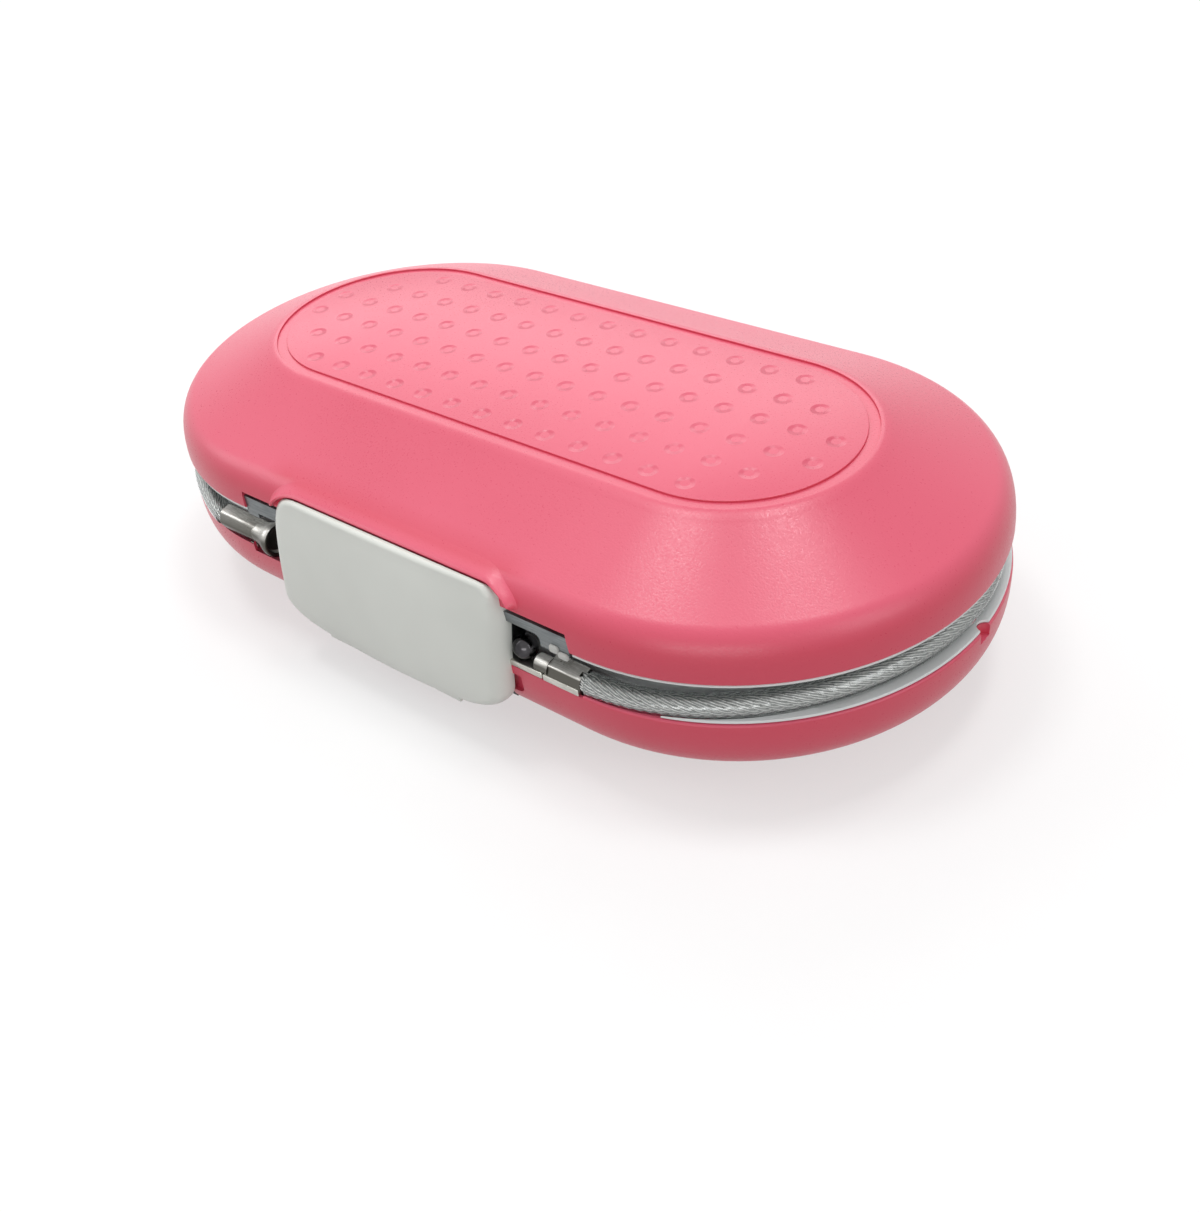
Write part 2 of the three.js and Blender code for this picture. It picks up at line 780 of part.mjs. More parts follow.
function lidLockPlate() {
  const strap = block(
    [-plateLeftEnd, -strapFront, lidWebLow],
    [plateRightEnd, -strapBack, lidWebTop],
  );
  const web = block(
    [lockCentre - lockHalfWidth + webInset, -strapFront, lidWebLow],
    [lockCentre + lockHalfWidth - webInset, -webBack, lidWebTop],
  );
  const earTop = lockTop - earTopGap;
  const earShelf = earTop - shelfThickness;
  const earProfile = outline([
    [-earFront, earLow],
    [-earFront + earThickness, earLow],
    [-earFront + earThickness, earShelf],
    [-strapBack, earShelf],
    [-strapBack, lidWebTop],
    [-strapFront, lidWebTop],
    [-strapFront, earTop],
    [-earFront, earTop],
  ]);
  const earInner = lockHalfWidth + earGap;
  const rightEar = prism(earProfile, lockCentre + earInner, plateRightEnd, alongX);
  const leftEar = prism(earProfile, -plateLeftEnd, lockCentre - earInner, alongX);
  const cutFront = -rimRadius - overrun;
  const arch = bar(
    ballRadius + archGap,
    cutFront,
    -strapFront,
    [ballPlace, ballHeight],
    alongY,
    16,
  );
  const bellArch = bar(
    bellRadius + bellArchGap,
    cutFront,
    -strapFront,
    [barrelLength - bellArchInset - barrelEnd, fittingHeight],
    alongY,
    16,
  );
  const bellSlot = block(
    [bellSlotInset - plateLeftEnd, cutFront, earLow - weld],
    [lockCentre, -strapFront, earLow + bellSlotRise],
  );
  const stopEnd = plateRightEnd - stopInset;
  const stop = block(
    [stopEnd - stopWidth, -earFront - stopReach, earLow + stopLift],
    [stopEnd, -earFront + weld, earLow + stopLift + stopHeight],
  );
  const strikes = strikePlaces.map((x) =>
    block(
      [lockCentre + x, -latchFront, lidWebLow - strikeDrop],
      [lockCentre + x + strikeThickness, -latchBack - clearance, lidWebLow + weld],
    ),
  );
  const holes = lidScrewPlaces().map((place) =>
    bar(screwRadius + clearance, lidWebLow - overrun, lidWebTop + overrun, place, alongZ),
  );
  return cut(
    joined(strap, web, rightEar, leftEar, stop, ...strikes),
    arch,
    bellArch,
    bellSlot,
    ...holes,
  );
}

// A screw seen from its seat: the head lies before the seat and the shank runs past it.
const slotWidthShare = 0.28;
const slotLengthShare = 1.4;

function screw(place, seat, length, towards, direction, radius, head) {
  const headEnd = seat - towards * screwHeadHeight;
  const body = joined(
    bar(head, headEnd, seat, place, direction),
    bar(radius, headEnd + (towards * screwHeadHeight) / 2, seat + towards * length, place, direction),
  );
  const [a, b] = place;
  const across = (head * slotLengthShare) / 2;
  const thin = (head * slotWidthShare) / 2;
  const shape = outline([
    [a - across, b - thin],
    [a + across, b - thin],
    [a + across, b + thin],
    [a - across, b + thin],
  ]);
  const depth = screwHeadHeight / 2;
  return cut(body, prism(shape, headEnd - depth, headEnd + depth, direction));
}

// The lock's frame, face plate and works.

const bulkheadDrop = 2;
const faceScrewRadius = 0.8;
const faceScrewHead = 1.6;
const faceScrewDrop = 5.6;
const faceScrewLength = 5.6;
const holeGap = 0.2;

function faceScrewPlaces() {
  const reach = lockHalfWidth - frameInset - chassisEndWall / 2;
  return [-1, 1].map((side) => [lockCentre + side * reach, lockTop - faceScrewDrop]);
}

function lockChassis() {
  const left = lockCentre - lockHalfWidth + frameInset;
  const right = lockCentre + lockHalfWidth - frameInset;
  const front = facePlateThickness + clearance - lockFront;
  const floor = lockBottom + chassisWall;
  const frame = cut(
    block([left, front, lockBottom], [right, -lockBack, lockTop]),
    block(
      [left + chassisEndWall, front - overrun, floor],
      [right - chassisEndWall, -lockBack - chassisWall, lockTop + overrun],
    ),
  );
  const bulkhead = block(
    [lockCentre + bulkheadPlace, front, lockBottom],
    [lockCentre + bulkheadPlace + bulkheadWall, -lockBack, latchLow - bulkheadDrop],
  );
  const shaftHole = bar(
    shaftRadius + runningGap,
    left - overrun,
    lockCentre + bulkheadPlace + overrun,
    [-shaftOffset, shaftHeight],
    alongX,
  );
  const latchSlot = block(
    [left - overrun, -latchFront - clearance, latchLow - clearance],
    [right + overrun, -latchBack + clearance, latchTop + clearance],
  );
  const floorHoles = chassisScrewPlaces().map((place) =>
    bar(screwRadius + clearance, lockBottom - overrun, floor + weld, place, alongZ),
  );
  const faceHoles = faceScrewPlaces().map((place) =>
    bar(faceScrewRadius + holeGap, front - overrun, front + faceScrewLength, place, alongY, 8),
  );
  return cut(frame.add(bulkhead), shaftHole, latchSlot, ...floorHoles, ...faceHoles);
}

function dialPlaces() {
  return Array.from({ length: dialCount }, (_, i) => lockCentre + firstDial + i * dialPitch);
}

const windowGap = 0.4;
const windowRiseGap = 0.6;

function facePlate() {
  const plateBack = facePlateThickness - lockFront;
  const plate = block(
    [lockCentre - lockHalfWidth, -lockFront, lockBottom],
    [lockCentre + lockHalfWidth, plateBack, lockTop],
  );
  const windowHalf = dialWidth / 2 + windowGap;
  const windowRise = Math.sqrt(dialRadius ** 2 - (plateBack + shaftOffset) ** 2) + windowRiseGap;
  const windows = dialPlaces().map((x) =>
    block(
      [x - windowHalf, -lockFront - overrun, shaftHeight - windowRise],
      [x + windowHalf, plateBack + overrun, shaftHeight + windowRise],
    ),
  );
  const buttonRoom = [buttonWidth / 2 + clearance, buttonHeight / 2 + clearance];
  const buttonHole = block(
    [lockCentre + buttonPlace - buttonRoom[0], -lockFront - overrun, shaftHeight - buttonRoom[1]],
    [lockCentre + buttonPlace + buttonRoom[0], plateBack + overrun, shaftHeight + buttonRoom[1]],
  );
  const holes = faceScrewPlaces().map((place) =>
    bar(faceScrewRadius + holeGap, -lockFront - overrun, plateBack + overrun, place, alongY, 8),
  );
  return cut(plate, ...windows, buttonHole, ...holes);
}

// A dial's rim has ten flats between ten shallow grips; the tumbler's hub fills its bore.
const dialFacets = 40;
const gripDepth = 0.7;
const hubRadius = 4;
const tumblerRadius = 5.3;
const gateWidth = 2;
const gateDepth = 1.2;
const shaftPlace = [-shaftOffset, shaftHeight];

function dial(x) {
  const points = Array.from({ length: dialFacets }, (_, i) => {
    const angle = (i / dialFacets) * Math.PI * 2;
    const radius = i % 4 === 2 ? dialRadius - gripDepth : dialRadius;
    return [-shaftOffset + radius * Math.cos(angle), shaftHeight + radius * Math.sin(angle)];
  });
  const ring = prism(outline(points), x - dialWidth / 2, x + dialWidth / 2, alongX);
  return ring.subtract(
    bar(hubRadius + clearance, x - dialWidth, x + dialWidth, shaftPlace, alongX, 16),
  );
}

function tumbler(x) {
  const discStart = x + dialWidth / 2 + clearance;
  const discEnd = discStart + tumblerThickness;
  const gateTop = shaftHeight - tumblerRadius + gateDepth;
  return cut(
    joined(
      bar(hubRadius, x - dialWidth / 2, discEnd, shaftPlace, alongX, 16),
      bar(tumblerRadius, discStart, discEnd, shaftPlace, alongX, 20),
    ),
    block(
      [discStart - clearance, -shaftOffset - gateWidth / 2, gateTop - overrun],
      [discEnd + overrun, -shaftOffset + gateWidth / 2, gateTop],
    ),
    bar(shaftRadius + runningGap, x - dialPitch, x + dialPitch, shaftPlace, alongX),
  );
}

// A strip of spring steel on the frame's floor, with a blade up to each dial.
const stripThickness = 0.5;
const stripWidth = 3;
const stripGap = 1;
const stripMargin = 2;
const bladeWidth = 3;
const bladeTip = 1.2;
const bladeGap = 0.3;
const bladeSlant = 0.1;

function detentSpring() {
  const low = lockBottom + chassisWall + clearance;
  const high = low + stripThickness;
  const back = -lockBack - chassisWall - stripThickness - stripGap;
  const front = back - stripWidth;
  const places = dialPlaces();
  const strip = block(
    [places[0] - stripMargin, front, low],
    [places[dialCount - 1] + stripMargin, back, high],
  );
  const tip = shaftHeight - dialRadius - bladeGap;
  const shape = outline([
    [back - stripThickness, low],
    [front + stripThickness, low],
    [-shaftOffset - bladeTip / 2, tip - stripThickness - bladeSlant],
    [-shaftOffset + bladeTip / 2, tip - bladeSlant],
    [front + stripThickness, high + stripThickness / 2],
    [back - stripThickness, high],
  ]);
  const blades = places.map((x) =>
    prism(shape, x - bladeWidth / 2, x + bladeWidth / 2, alongX),
  );
  return joined(strip, ...blades);
}

// The release button and the latch bar meet on a slope of 45 degrees, so pressing the one
// slides the other. The slope's foot is the place where the wedge is longest.
const buttonCentre = lockCentre + buttonPlace;
const buttonPlateGap = 0.6;
const wedgeHalf = 4;
const wedgeHeight = 5;
const wedgeFoot = 1.4;
const springRoom = 5;
const wedgeTip = lockBack + chassisWall + springRoom;
const slopeGap = 0.42;

function releaseButton() {
  const flangeFront = buttonPlateGap + facePlateThickness - lockFront;
  const flangeBack = flangeFront + buttonFlange;
  const halfWidth = buttonWidth / 2;
  const halfHeight = buttonHeight / 2;
  const cap = block(
    [buttonCentre - halfWidth, -lockFront - buttonTravel, shaftHeight - halfHeight],
    [buttonCentre + halfWidth, flangeBack, shaftHeight + halfHeight],
  );
  const flange = block(
    [buttonCentre - halfWidth - buttonFlange, flangeFront, shaftHeight - halfHeight - buttonFlange],
    [buttonCentre + halfWidth + buttonFlange, flangeBack, shaftHeight + halfHeight + buttonFlange],
  );
  const wedge = prism(
    outline([
      [buttonCentre - wedgeHalf, flangeBack - weld],
      [buttonCentre + wedgeHalf, flangeBack - weld],
      [buttonCentre + wedgeHalf, -wedgeTip - wedgeHalf - wedgeFoot],
      [buttonCentre - wedgeFoot, -wedgeTip],
      [buttonCentre - wedgeHalf, -wedgeTip],
    ]),
    shaftHeight - wedgeHeight / 2,
    shaftHeight + wedgeHeight / 2,
    alongZ,
  );
  return joined(cap, flange, wedge);
}

const railInset = 0.5;
const railEndGap = 2.9;
const armStart = 0.2;
const armFront = 3.6;
const fingerGap = 0.6;
const fingerThickness = 0.8;
const fingerEntry = 0.6;
const hookLength = 1.6;
const hookGap = 0.4;
const hookRise = 1.2;
const sideStep = 0.1;

function latchBar() {
  const rail = block(
    [lockCentre - lockHalfWidth + frameInset + railInset, -latchFront, latchLow],
    [lockCentre + lockHalfWidth - frameInset - railEndGap, -latchBack, latchTop],
  );
  const slopeAt = (x) => slopeGap - wedgeTip - wedgeFoot - x;
  const armBack = -latchBack - clearance;
  const armEnd = lockCentre + lockInnerWidth / 2 - buttonTravel - clearance;
  const arm = prism(
    outline([
      [buttonCentre + armStart, slopeAt(armStart)],
      [buttonCentre + armFront, slopeAt(armFront)],
      [armEnd, slopeAt(armFront)],
      [armEnd, armBack],
      [buttonCentre + armStart, armBack],
    ]),
    shaftHeight - wedgeHeight / 2 - weld,
    latchTop - sideStep,
    alongZ,
  );
  const front = -latchFront + sideStep;
  const back = -latchBack - sideStep;
  const fingers = dialPlaces().map((place) => {
    const from = place + dialWidth / 2 + fingerGap;
    return block(
      [from, front, shaftHeight + tumblerRadius - fingerEntry],
      [from + fingerThickness, back, latchLow + weld],
    );
  });
  const hooks = strikePlaces.map((place) => {
    const nose = lockCentre + place - hookGap - buttonTravel;
    return block([nose - hookLength, front, latchTop - weld], [nose, back, latchTop + hookRise]);
  });
  return joined(rail, arm, ...fingers, ...hooks);
}

const springRadius = 1.6;
const springWire = 0.25;
const springTurns = 3;
const springShift = 2.2;

// A coil along Y between two places.
function coil(radius, wire, turns, from, to, [x, z]) {
  const steps = turns * 8;
  const points = Array.from({ length: steps + 1 }, (_, i) => {
    const angle = (i / 8) * Math.PI * 2;
    const y = from + wire + ((to - from - 2 * wire) * i) / steps;
    return new THREE.Vector3(x + radius * Math.cos(angle), y, z + radius * Math.sin(angle));
  });
  const shape = new THREE.Shape();
  shape.absarc(0, 0, wire, 0, Math.PI * 2);
  const extrudePath = new THREE.CatmullRomCurve3(points);
  return solidOf(new THREE.ExtrudeGeometry(shape, { steps, extrudePath, curveSegments: 3 }));
}

function buttonSpring() {
  return coil(
    springRadius,
    springWire,
    springTurns,
    clearance - wedgeTip,
    -lockBack - chassisWall - clearance,
    [buttonCentre - springShift, shaftHeight],
  );
}

// The cover over the wheels: a shallow tray, open at the back, leaning out towards its foot.
const coverBackInset = 15;
const coverBack = rimRadius - coverBackInset;
const coverTopRound = 5.2;
const coverTopFall = 1.2;
const coverLip = 4;
const coverLipRise = 0.8;
const coverSwell = 0.2;
const coverEdgeRound = 5;
const coverBow = 0.8;
const coverTabRise = 0.6;
const heelTrim = 1.5;
const heelRise = 4;

// The side view of the cover, moved inwards by an allowance at the front.
function coverSide(inset) {
  const bulge = coverBulge - inset;
  const brow = coverTopFront - inset;
  const middle = (coverShoulderHeight + coverBulgeHeight) / 2;
  const shape = new THREE.Shape();
  shape.moveTo(-coverBack, coverBottom);
  shape.lineTo(coverLip - bulge, coverBottom);
  shape.quadraticCurveTo(-bulge, coverBottom + coverLipRise, -bulge, coverBulgeHeight);
  shape.quadraticCurveTo(-(bulge + brow) / 2 - coverSwell, middle, -brow, coverShoulderHeight);
  shape.quadraticCurveTo(coverTopFall - brow, coverTop, coverTopRound - brow, coverTop);
  shape.lineTo(-coverBack, coverTop);
  return shape;
}

// The plan of the cover with its rounded upright edges, leaning like the front does.
function coverPlan() {
  const left = lockCentre - coverHalfWidth;
  const right = lockCentre + coverHalfWidth;
  const lean = (coverBulge - coverTopFront) / (coverShoulderHeight - coverBulgeHeight);
  const edge = coverBow - coverBulge - lean * coverBulgeHeight;
  const back = -coverBack + overrun;
  const plan = new THREE.Shape();
  plan.moveTo(left, back);
  plan.lineTo(left, edge + coverEdgeRound);
  plan.quadraticCurveTo(left, edge, left + coverEdgeRound, edge);
  plan.quadraticCurveTo(lockCentre, edge - 2 * coverBow, right - coverEdgeRound, edge);
  plan.quadraticCurveTo(right, edge, right, edge + coverEdgeRound);
  plan.lineTo(right, back);
  const leaning = new THREE.ExtrudeGeometry(plan, {
    depth: bodyHeight,
    bevelEnabled: false,
    curveSegments: curveSteps,
  });
  leaning.applyMatrix4(new THREE.Matrix4().makeShear(0, 0, 0, 0, 0, lean));
  return solidOf(leaning);
}

function dialCover() {
  const front = -coverBulge - overrun;
  const left = lockCentre - coverHalfWidth;
  const right = lockCentre + coverHalfWidth;
  const slab = prism(coverOutline(0), front, -coverBack, alongY)
    .intersect(prism(coverSide(0), left - overrun, right + overrun, alongX))
    .intersect(coverPlan());
  const hollow = prism(coverOutline(-coverWall), front, 0, alongY).intersect(
    prism(coverSide(coverWall + clearance), left, right, alongX),
  );
  const bodies = [baseHalf, lidHalf].map((half) =>
    filled(half, insetLine(skinLine(half), -coverGap), half.depth),
  );
  const middle = block(
    [-bodyLength, -rimRadius - coverGap, baseRimHeight - weld],
    [bodyLength, 0, lidRimHeight + weld],
  );
  const heel = block(
    [left - overrun, -coverHingeOffset - heelTrim, 0],
    [right + overrun, 0, coverHingeHeight + heelRise],
  );
  const tabFront = coverWall - coverBulge;
  const knuckles = [-1, 1].map((side) => {
    const from = lockCentre + side * coverKnucklePlace - coverKnuckleWidth / 2;
    const to = from + coverKnuckleWidth;
    return bar(coverKnuckleRadius, from, to, coverPlace, alongX).add(
      block(
        [from, tabFront, coverHingeHeight - coverKnuckleRadius],
        [to, -coverHingeOffset, coverHingeHeight + coverTabRise],
      ),
    );
  });
  const lugNotches = lugSpans().map(([from, to]) =>
    block(
      [from - clearance, -coverHingeOffset - coverKnuckleRadius - coverTabRise, 0],
      [to + clearance, 0, coverHingeHeight + heelRise],
    ),
  );
  const tray = cut(slab, hollow, ...bodies, middle, heel, ...lugNotches);
  return cut(joined(tray, ...knuckles), coverPinBore());
}

// The cable. It leaves each barrel straight, climbs on to the groove's floor within the first
// steps of the turn, and dips inwards at the back to pass inside the hinge.
const turnSteps = 14;
const drawInSteps = 5;
const climbSteps = 3;
const leftTurnSkip = 1;
const leavingInset = 0.3;
const straightRun = 2;
const backShares = [
  [0.82, 0.12],
  [0.68, 0.6],
  [0.55, 0.94],
  [0.43, 1],
  [0.14, 1],
];

function cableRoute() {
  const ease = (t) => t * t * (3 - 2 * t);
  const frontRadius = fittingOffset - leavingInset;
  const straight = (side, end) =>
    [end - barrelBoreDepth + ropeEndGap, end - straightRun, end + weld].map(
      (x) => new THREE.Vector3(side * x, -fittingOffset, fittingHeight),
    );
  const points = [];
  for (let i = 1; i <= turnSteps; i += 1) {
    const angle = Math.PI * (i / turnSteps - 0.5);
    const drawn = ease(Math.min(1, i / drawInSteps));
    const climbed = ease(Math.min(1, i / climbSteps));
    const radius = frontRadius + (cableTurnRadius - frontRadius) * drawn;
    points.push(
      new THREE.Vector3(
        halfStraight + radius * Math.cos(angle),
        radius * Math.sin(angle),
        fittingHeight + (cableHeight - fittingHeight) * climbed,
      ),
    );
  }
  for (const [along, inwards] of backShares) {
    const y = cableTurnRadius + (hingeCableOffset - cableTurnRadius) * inwards;
    points.push(new THREE.Vector3(halfStraight * along, y, cableHeight));
  }
  const left = points.slice(leftTurnSkip).map((p) => new THREE.Vector3(-p.x, p.y, p.z));
  const ends = [straight(1, barrelEnd), straight(-1, leftBarrelEnd).reverse()];
  return new THREE.CatmullRomCurve3(
    [...ends[0], ...points, ...left.reverse(), ...ends[1]],
    false,
    "centripetal",
  );
}

function cableTube(radius, bore = 0) {
  const shape = new THREE.Shape();
  shape.absarc(0, 0, radius, 0, Math.PI * 2);
  if (bore > 0) {
    const hole = new THREE.Path();
    hole.absarc(0, 0, bore, 0, Math.PI * 2, true);
    shape.holes.push(hole);
  }
  return solidOf(
    new THREE.ExtrudeGeometry(shape, {
      steps: cableSteps,
      extrudePath: cableRoute(),
      curveSegments: cableSides / 2,
    }),
  );
}

// The jacket ends just short of each barrel.
function cableJacket() {
  const trim = block(
    [-leftBarrelEnd - clearance, -fittingOffset - overrun, fittingHeight - overrun],
    [barrelEnd + clearance, -fittingOffset + overrun, fittingHeight + overrun],
  );
  return cut(cableTube(jacketRadius, ropeRadius + ropeGap), trim);
}

const fittingPlace = [-fittingOffset, fittingHeight];
const neckInset = 0.5;
const tongueLead = 1;
const tongueOut = 2.8;
const tongueIn = 0.3;
const tongueThickness = 2.1;
const bellRim = 0.9;
const bellDish = 1.6;
const dishDepth = 0.8;

function hexBarrel(radius, from, to) {
  const points = Array.from({ length: 6 }, (_, i) => {
    const angle = ((i + 0.5) / 6) * Math.PI * 2;
    return [
      -fittingOffset + radius * Math.cos(angle),
      fittingHeight + radius * Math.sin(angle),
    ];
  });
  return prism(outline(points), from, to, alongX);
}

function ropeBore(side, end) {
  const from = side * (end - barrelBoreDepth);
  return bar(ropeRadius + clearance, from, side * (end + overrun), fittingPlace, alongX);
}

function ferruleRight() {
  const inner = barrelEnd - barrelLength;
  const neck = bar(barrelRadius - neckInset, inner - neckLength, inner + weld, fittingPlace, alongX);
  const tongueTop = ballHeight - ballRadius - clearance;
  const tongue = block(
    [
      lockCentre + lockHalfWidth - tongueLead,
      -fittingOffset - tongueOut,
      tongueTop - tongueThickness,
    ],
    [inner - neckLength + weld, tongueIn - fittingOffset, tongueTop],
  );
  return cut(joined(hexBarrel(barrelRadius, inner, barrelEnd), neck, tongue), ropeBore(1, barrelEnd));
}

function ferruleLeft() {
  const inner = barrelLength - barrelEnd;
  const profile = [
    [0, 0],
    [bellRadius - bellRim, 0],
    [bellRadius, bellRim],
    [bellRadius, 2 * bellRim],
    [leftBarrelRadius, bellLength],
    [0, bellLength],
  ].map(([r, h]) => new THREE.Vector2(r, h));
  const lathe = new THREE.LatheGeometry(profile, 20);
  lathe.rotateZ(Math.PI / 2);
  lathe.translate(inner, -fittingOffset, fittingHeight);
  const dish = bar(
    bellRadius - bellDish,
    inner - dishDepth,
    inner + overrun,
    fittingPlace,
    alongX,
    16,
  );
  const barrel = hexBarrel(leftBarrelRadius, -leftBarrelEnd, inner - bellLength + weld);
  return cut(barrel.add(solidOf(lathe)), dish, ropeBore(-1, leftBarrelEnd));
}

function lockBall() {
  const ball = new THREE.SphereGeometry(ballRadius, 16, 10);
  ball.translate(ballPlace, -ballOffset, ballHeight);
  return solidOf(ball);
}

// A steel strip in the base rim under each barrel.
const seatFront = 0.2;
const seatSideGap = 1.5;

function cableSeat(side) {
  const rightStart = lockCentre + lockHalfWidth + seatSideGap;
  const leftStart = barrelEnd - barrelLength + bellLength + seatSideGap;
  const inner = side > 0 ? rightStart : leftStart;
  const low = seatFloor + clearance;
  const front = seatFront - rimRadius;
  const ends = [side * inner, side * barrelEnd];
  return block(
    [Math.min(...ends), front, low],
    [Math.max(...ends), front + seatDepth, low + seatThickness],
  );
}

// The assembly.

const shellFinish = finish(0xee6f86, 0.45);
const linerFinish = finish(0xb9bfc2, 0.55);
const coverFinish = finish(0xd3d6d1, 0.4);
const steelFinish = finish(0x8f9392, 0.35, 1);
const darkSteelFinish = finish(0x5c6062, 0.4, 1);
const dialFinish = finish(0x2b2c2e, 0.45);
const buttonFinish = finish(0xe4e4e0, 0.5);
const jacketFinish = finish(0xdfe6e6, 0.2);
const shaftEndGap = 0.2;
const hingePinInset = 0.5;
const chassisScrewLength = 4;
const lidScrewLength = 4.6;

add("base_shell", baseShell(), shellFinish);
add("base_liner", baseLiner(), linerFinish);
add("lid_shell", lidShell(), shellFinish);
add("lid_liner", lidLiner(), linerFinish);
add("lid_lock_plate", lidLockPlate(), darkSteelFinish);
add("lock_chassis", lockChassis(), darkSteelFinish);
add("lock_face_plate", facePlate(), dialFinish);
const shaftStart = lockCentre - lockHalfWidth + frameInset + shaftEndGap;
const shaftEnd = lockCentre + bulkheadPlace + bulkheadWall - shaftEndGap;
add("dial_shaft", bar(shaftRadius, shaftStart, shaftEnd, shaftPlace, alongX), steelFinish);
dialPlaces().forEach((x, i) => {
  add(`dial_${i + 1}`, dial(x), dialFinish);
  add(`tumbler_${i + 1}`, tumbler(x), steelFinish);
});
add("detent_spring", detentSpring(), steelFinish);
add("release_button", releaseButton(), buttonFinish);
add("button_spring", buttonSpring(), steelFinish);
add("latch_bar", latchBar(), steelFinish);
add("dial_cover", dialCover(), coverFinish);
const coverPinEnds = [lockCentre - coverPinHalfLength, lockCentre + coverPinHalfLength];
add("cover_hinge_pin", bar(coverPinRadius, ...coverPinEnds, coverPlace, alongX), steelFinish);
const hingePinEnd = hingeSpan / 2 - hingePinInset;
add(
  "lid_hinge_pin",
  bar(hingePinRadius, -hingePinEnd, hingePinEnd, hingePlace, alongX),
  steelFinish,
);
add("cable_rope", cableTube(ropeRadius), steelFinish);
add("cable_jacket", cableJacket(), jacketFinish);
add("ferrule_right", ferruleRight(), steelFinish);
add("ferrule_left", ferruleLeft(), steelFinish);
add("lock_ball", lockBall(), steelFinish);
add("cable_seat_right", cableSeat(1), steelFinish);
add("cable_seat_left", cableSeat(-1), steelFinish);
["left", "right"].forEach((side, i) => {
  const chassisSeat = lockBottom + chassisWall + clearance;
  add(
    `chassis_screw_${side}`,
    screw(
      chassisScrewPlaces()[i],
      chassisSeat,
      chassisScrewLength,
      -1,
      alongZ,
      screwRadius,
      screwHeadRadius,
    ),
    steelFinish,
  );
  add(
    `face_plate_screw_${side}`,
    screw(
      faceScrewPlaces()[i],
      -lockFront - clearance,
      faceScrewLength,
      1,
      alongY,
      faceScrewRadius,
      faceScrewHead,
    ),
    steelFinish,
  );
  add(
    `lid_plate_screw_${side}`,
    screw(
      lidScrewPlaces()[i],
      lidWebLow - clearance,
      lidScrewLength,
      1,
      alongZ,
      screwRadius,
      screwHeadRadius,
    ),
    steelFinish,
  );
});

export default group;
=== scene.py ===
# %% [markdown]
# A medication lock box: a clam-shaped pink case, a steel cable stowed in the groove between
# its halves, and a combination lock behind an off-white drop-down cover.
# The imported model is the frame: its nodes stay where they are, and every smoother piece
# that is made here takes its place and size from them.

# %% Load the frame
import math

import bmesh
import bpy
from mathutils import Matrix, Vector


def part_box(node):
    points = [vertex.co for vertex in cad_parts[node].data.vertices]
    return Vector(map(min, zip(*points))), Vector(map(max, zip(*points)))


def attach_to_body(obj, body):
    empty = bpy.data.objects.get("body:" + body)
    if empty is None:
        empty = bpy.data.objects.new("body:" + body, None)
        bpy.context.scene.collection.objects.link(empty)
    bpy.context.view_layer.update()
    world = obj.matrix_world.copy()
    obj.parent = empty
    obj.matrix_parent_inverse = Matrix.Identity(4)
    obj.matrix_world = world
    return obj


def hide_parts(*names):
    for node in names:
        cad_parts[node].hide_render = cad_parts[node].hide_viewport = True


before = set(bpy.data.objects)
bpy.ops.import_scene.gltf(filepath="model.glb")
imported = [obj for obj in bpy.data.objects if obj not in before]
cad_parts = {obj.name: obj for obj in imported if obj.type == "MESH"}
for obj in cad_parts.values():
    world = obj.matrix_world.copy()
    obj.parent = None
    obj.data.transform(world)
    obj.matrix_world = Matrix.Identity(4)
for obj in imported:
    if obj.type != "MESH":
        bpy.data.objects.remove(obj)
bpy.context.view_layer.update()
MM = 0.001


def corners(node):
    """Lowest and highest corner of a CAD node, in millimetres."""
    return [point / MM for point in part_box(node)]


# %% [markdown]
# The camera stands where the photographer's stood. Its place, its axes and its focal length
# were solved from the outlines of the lid, the panel and both rims. The image is taken as
# 1200 by 1212, so Blender's sensor width lies along the image's height.

# %% The camera
IMAGE_HEIGHT = 1212
FOCAL_PIXELS = 1301.8
SENSOR = 36.0
CAMERA_PLACE = Vector((204.232, -213.951, 222.410))
CAMERA_RIGHT = Vector((0.78364, 0.61290, -0.10129))
CAMERA_UP = Vector((-0.32935, 0.54815, 0.76880))

camera_data = bpy.data.cameras.new("camera")
camera_data.sensor_width = SENSOR
camera_data.lens = FOCAL_PIXELS * SENSOR / IMAGE_HEIGHT
camera_data.clip_start = 0.01
camera_data.clip_end = 20
camera = bpy.data.objects.new("camera", camera_data)
bpy.context.scene.collection.objects.link(camera)
axes = Matrix((CAMERA_RIGHT, CAMERA_UP, CAMERA_RIGHT.cross(CAMERA_UP))).transposed()
camera.matrix_world = Matrix.Translation(CAMERA_PLACE * MM) @ axes.to_4x4()
bpy.context.scene.camera = camera
print("lens", round(camera_data.lens, 2), "mm")

# %% [markdown]
# A finish is a Principled shader and a few nodes that vary it. Writing those nodes one by
# one hides the idea behind bookkeeping, so one small class wraps a socket: an expression
# such as `1 - mask` adds the Math node for us. Every other node, also the stage's, comes
# from one method.

# %% Shader maths as expressions


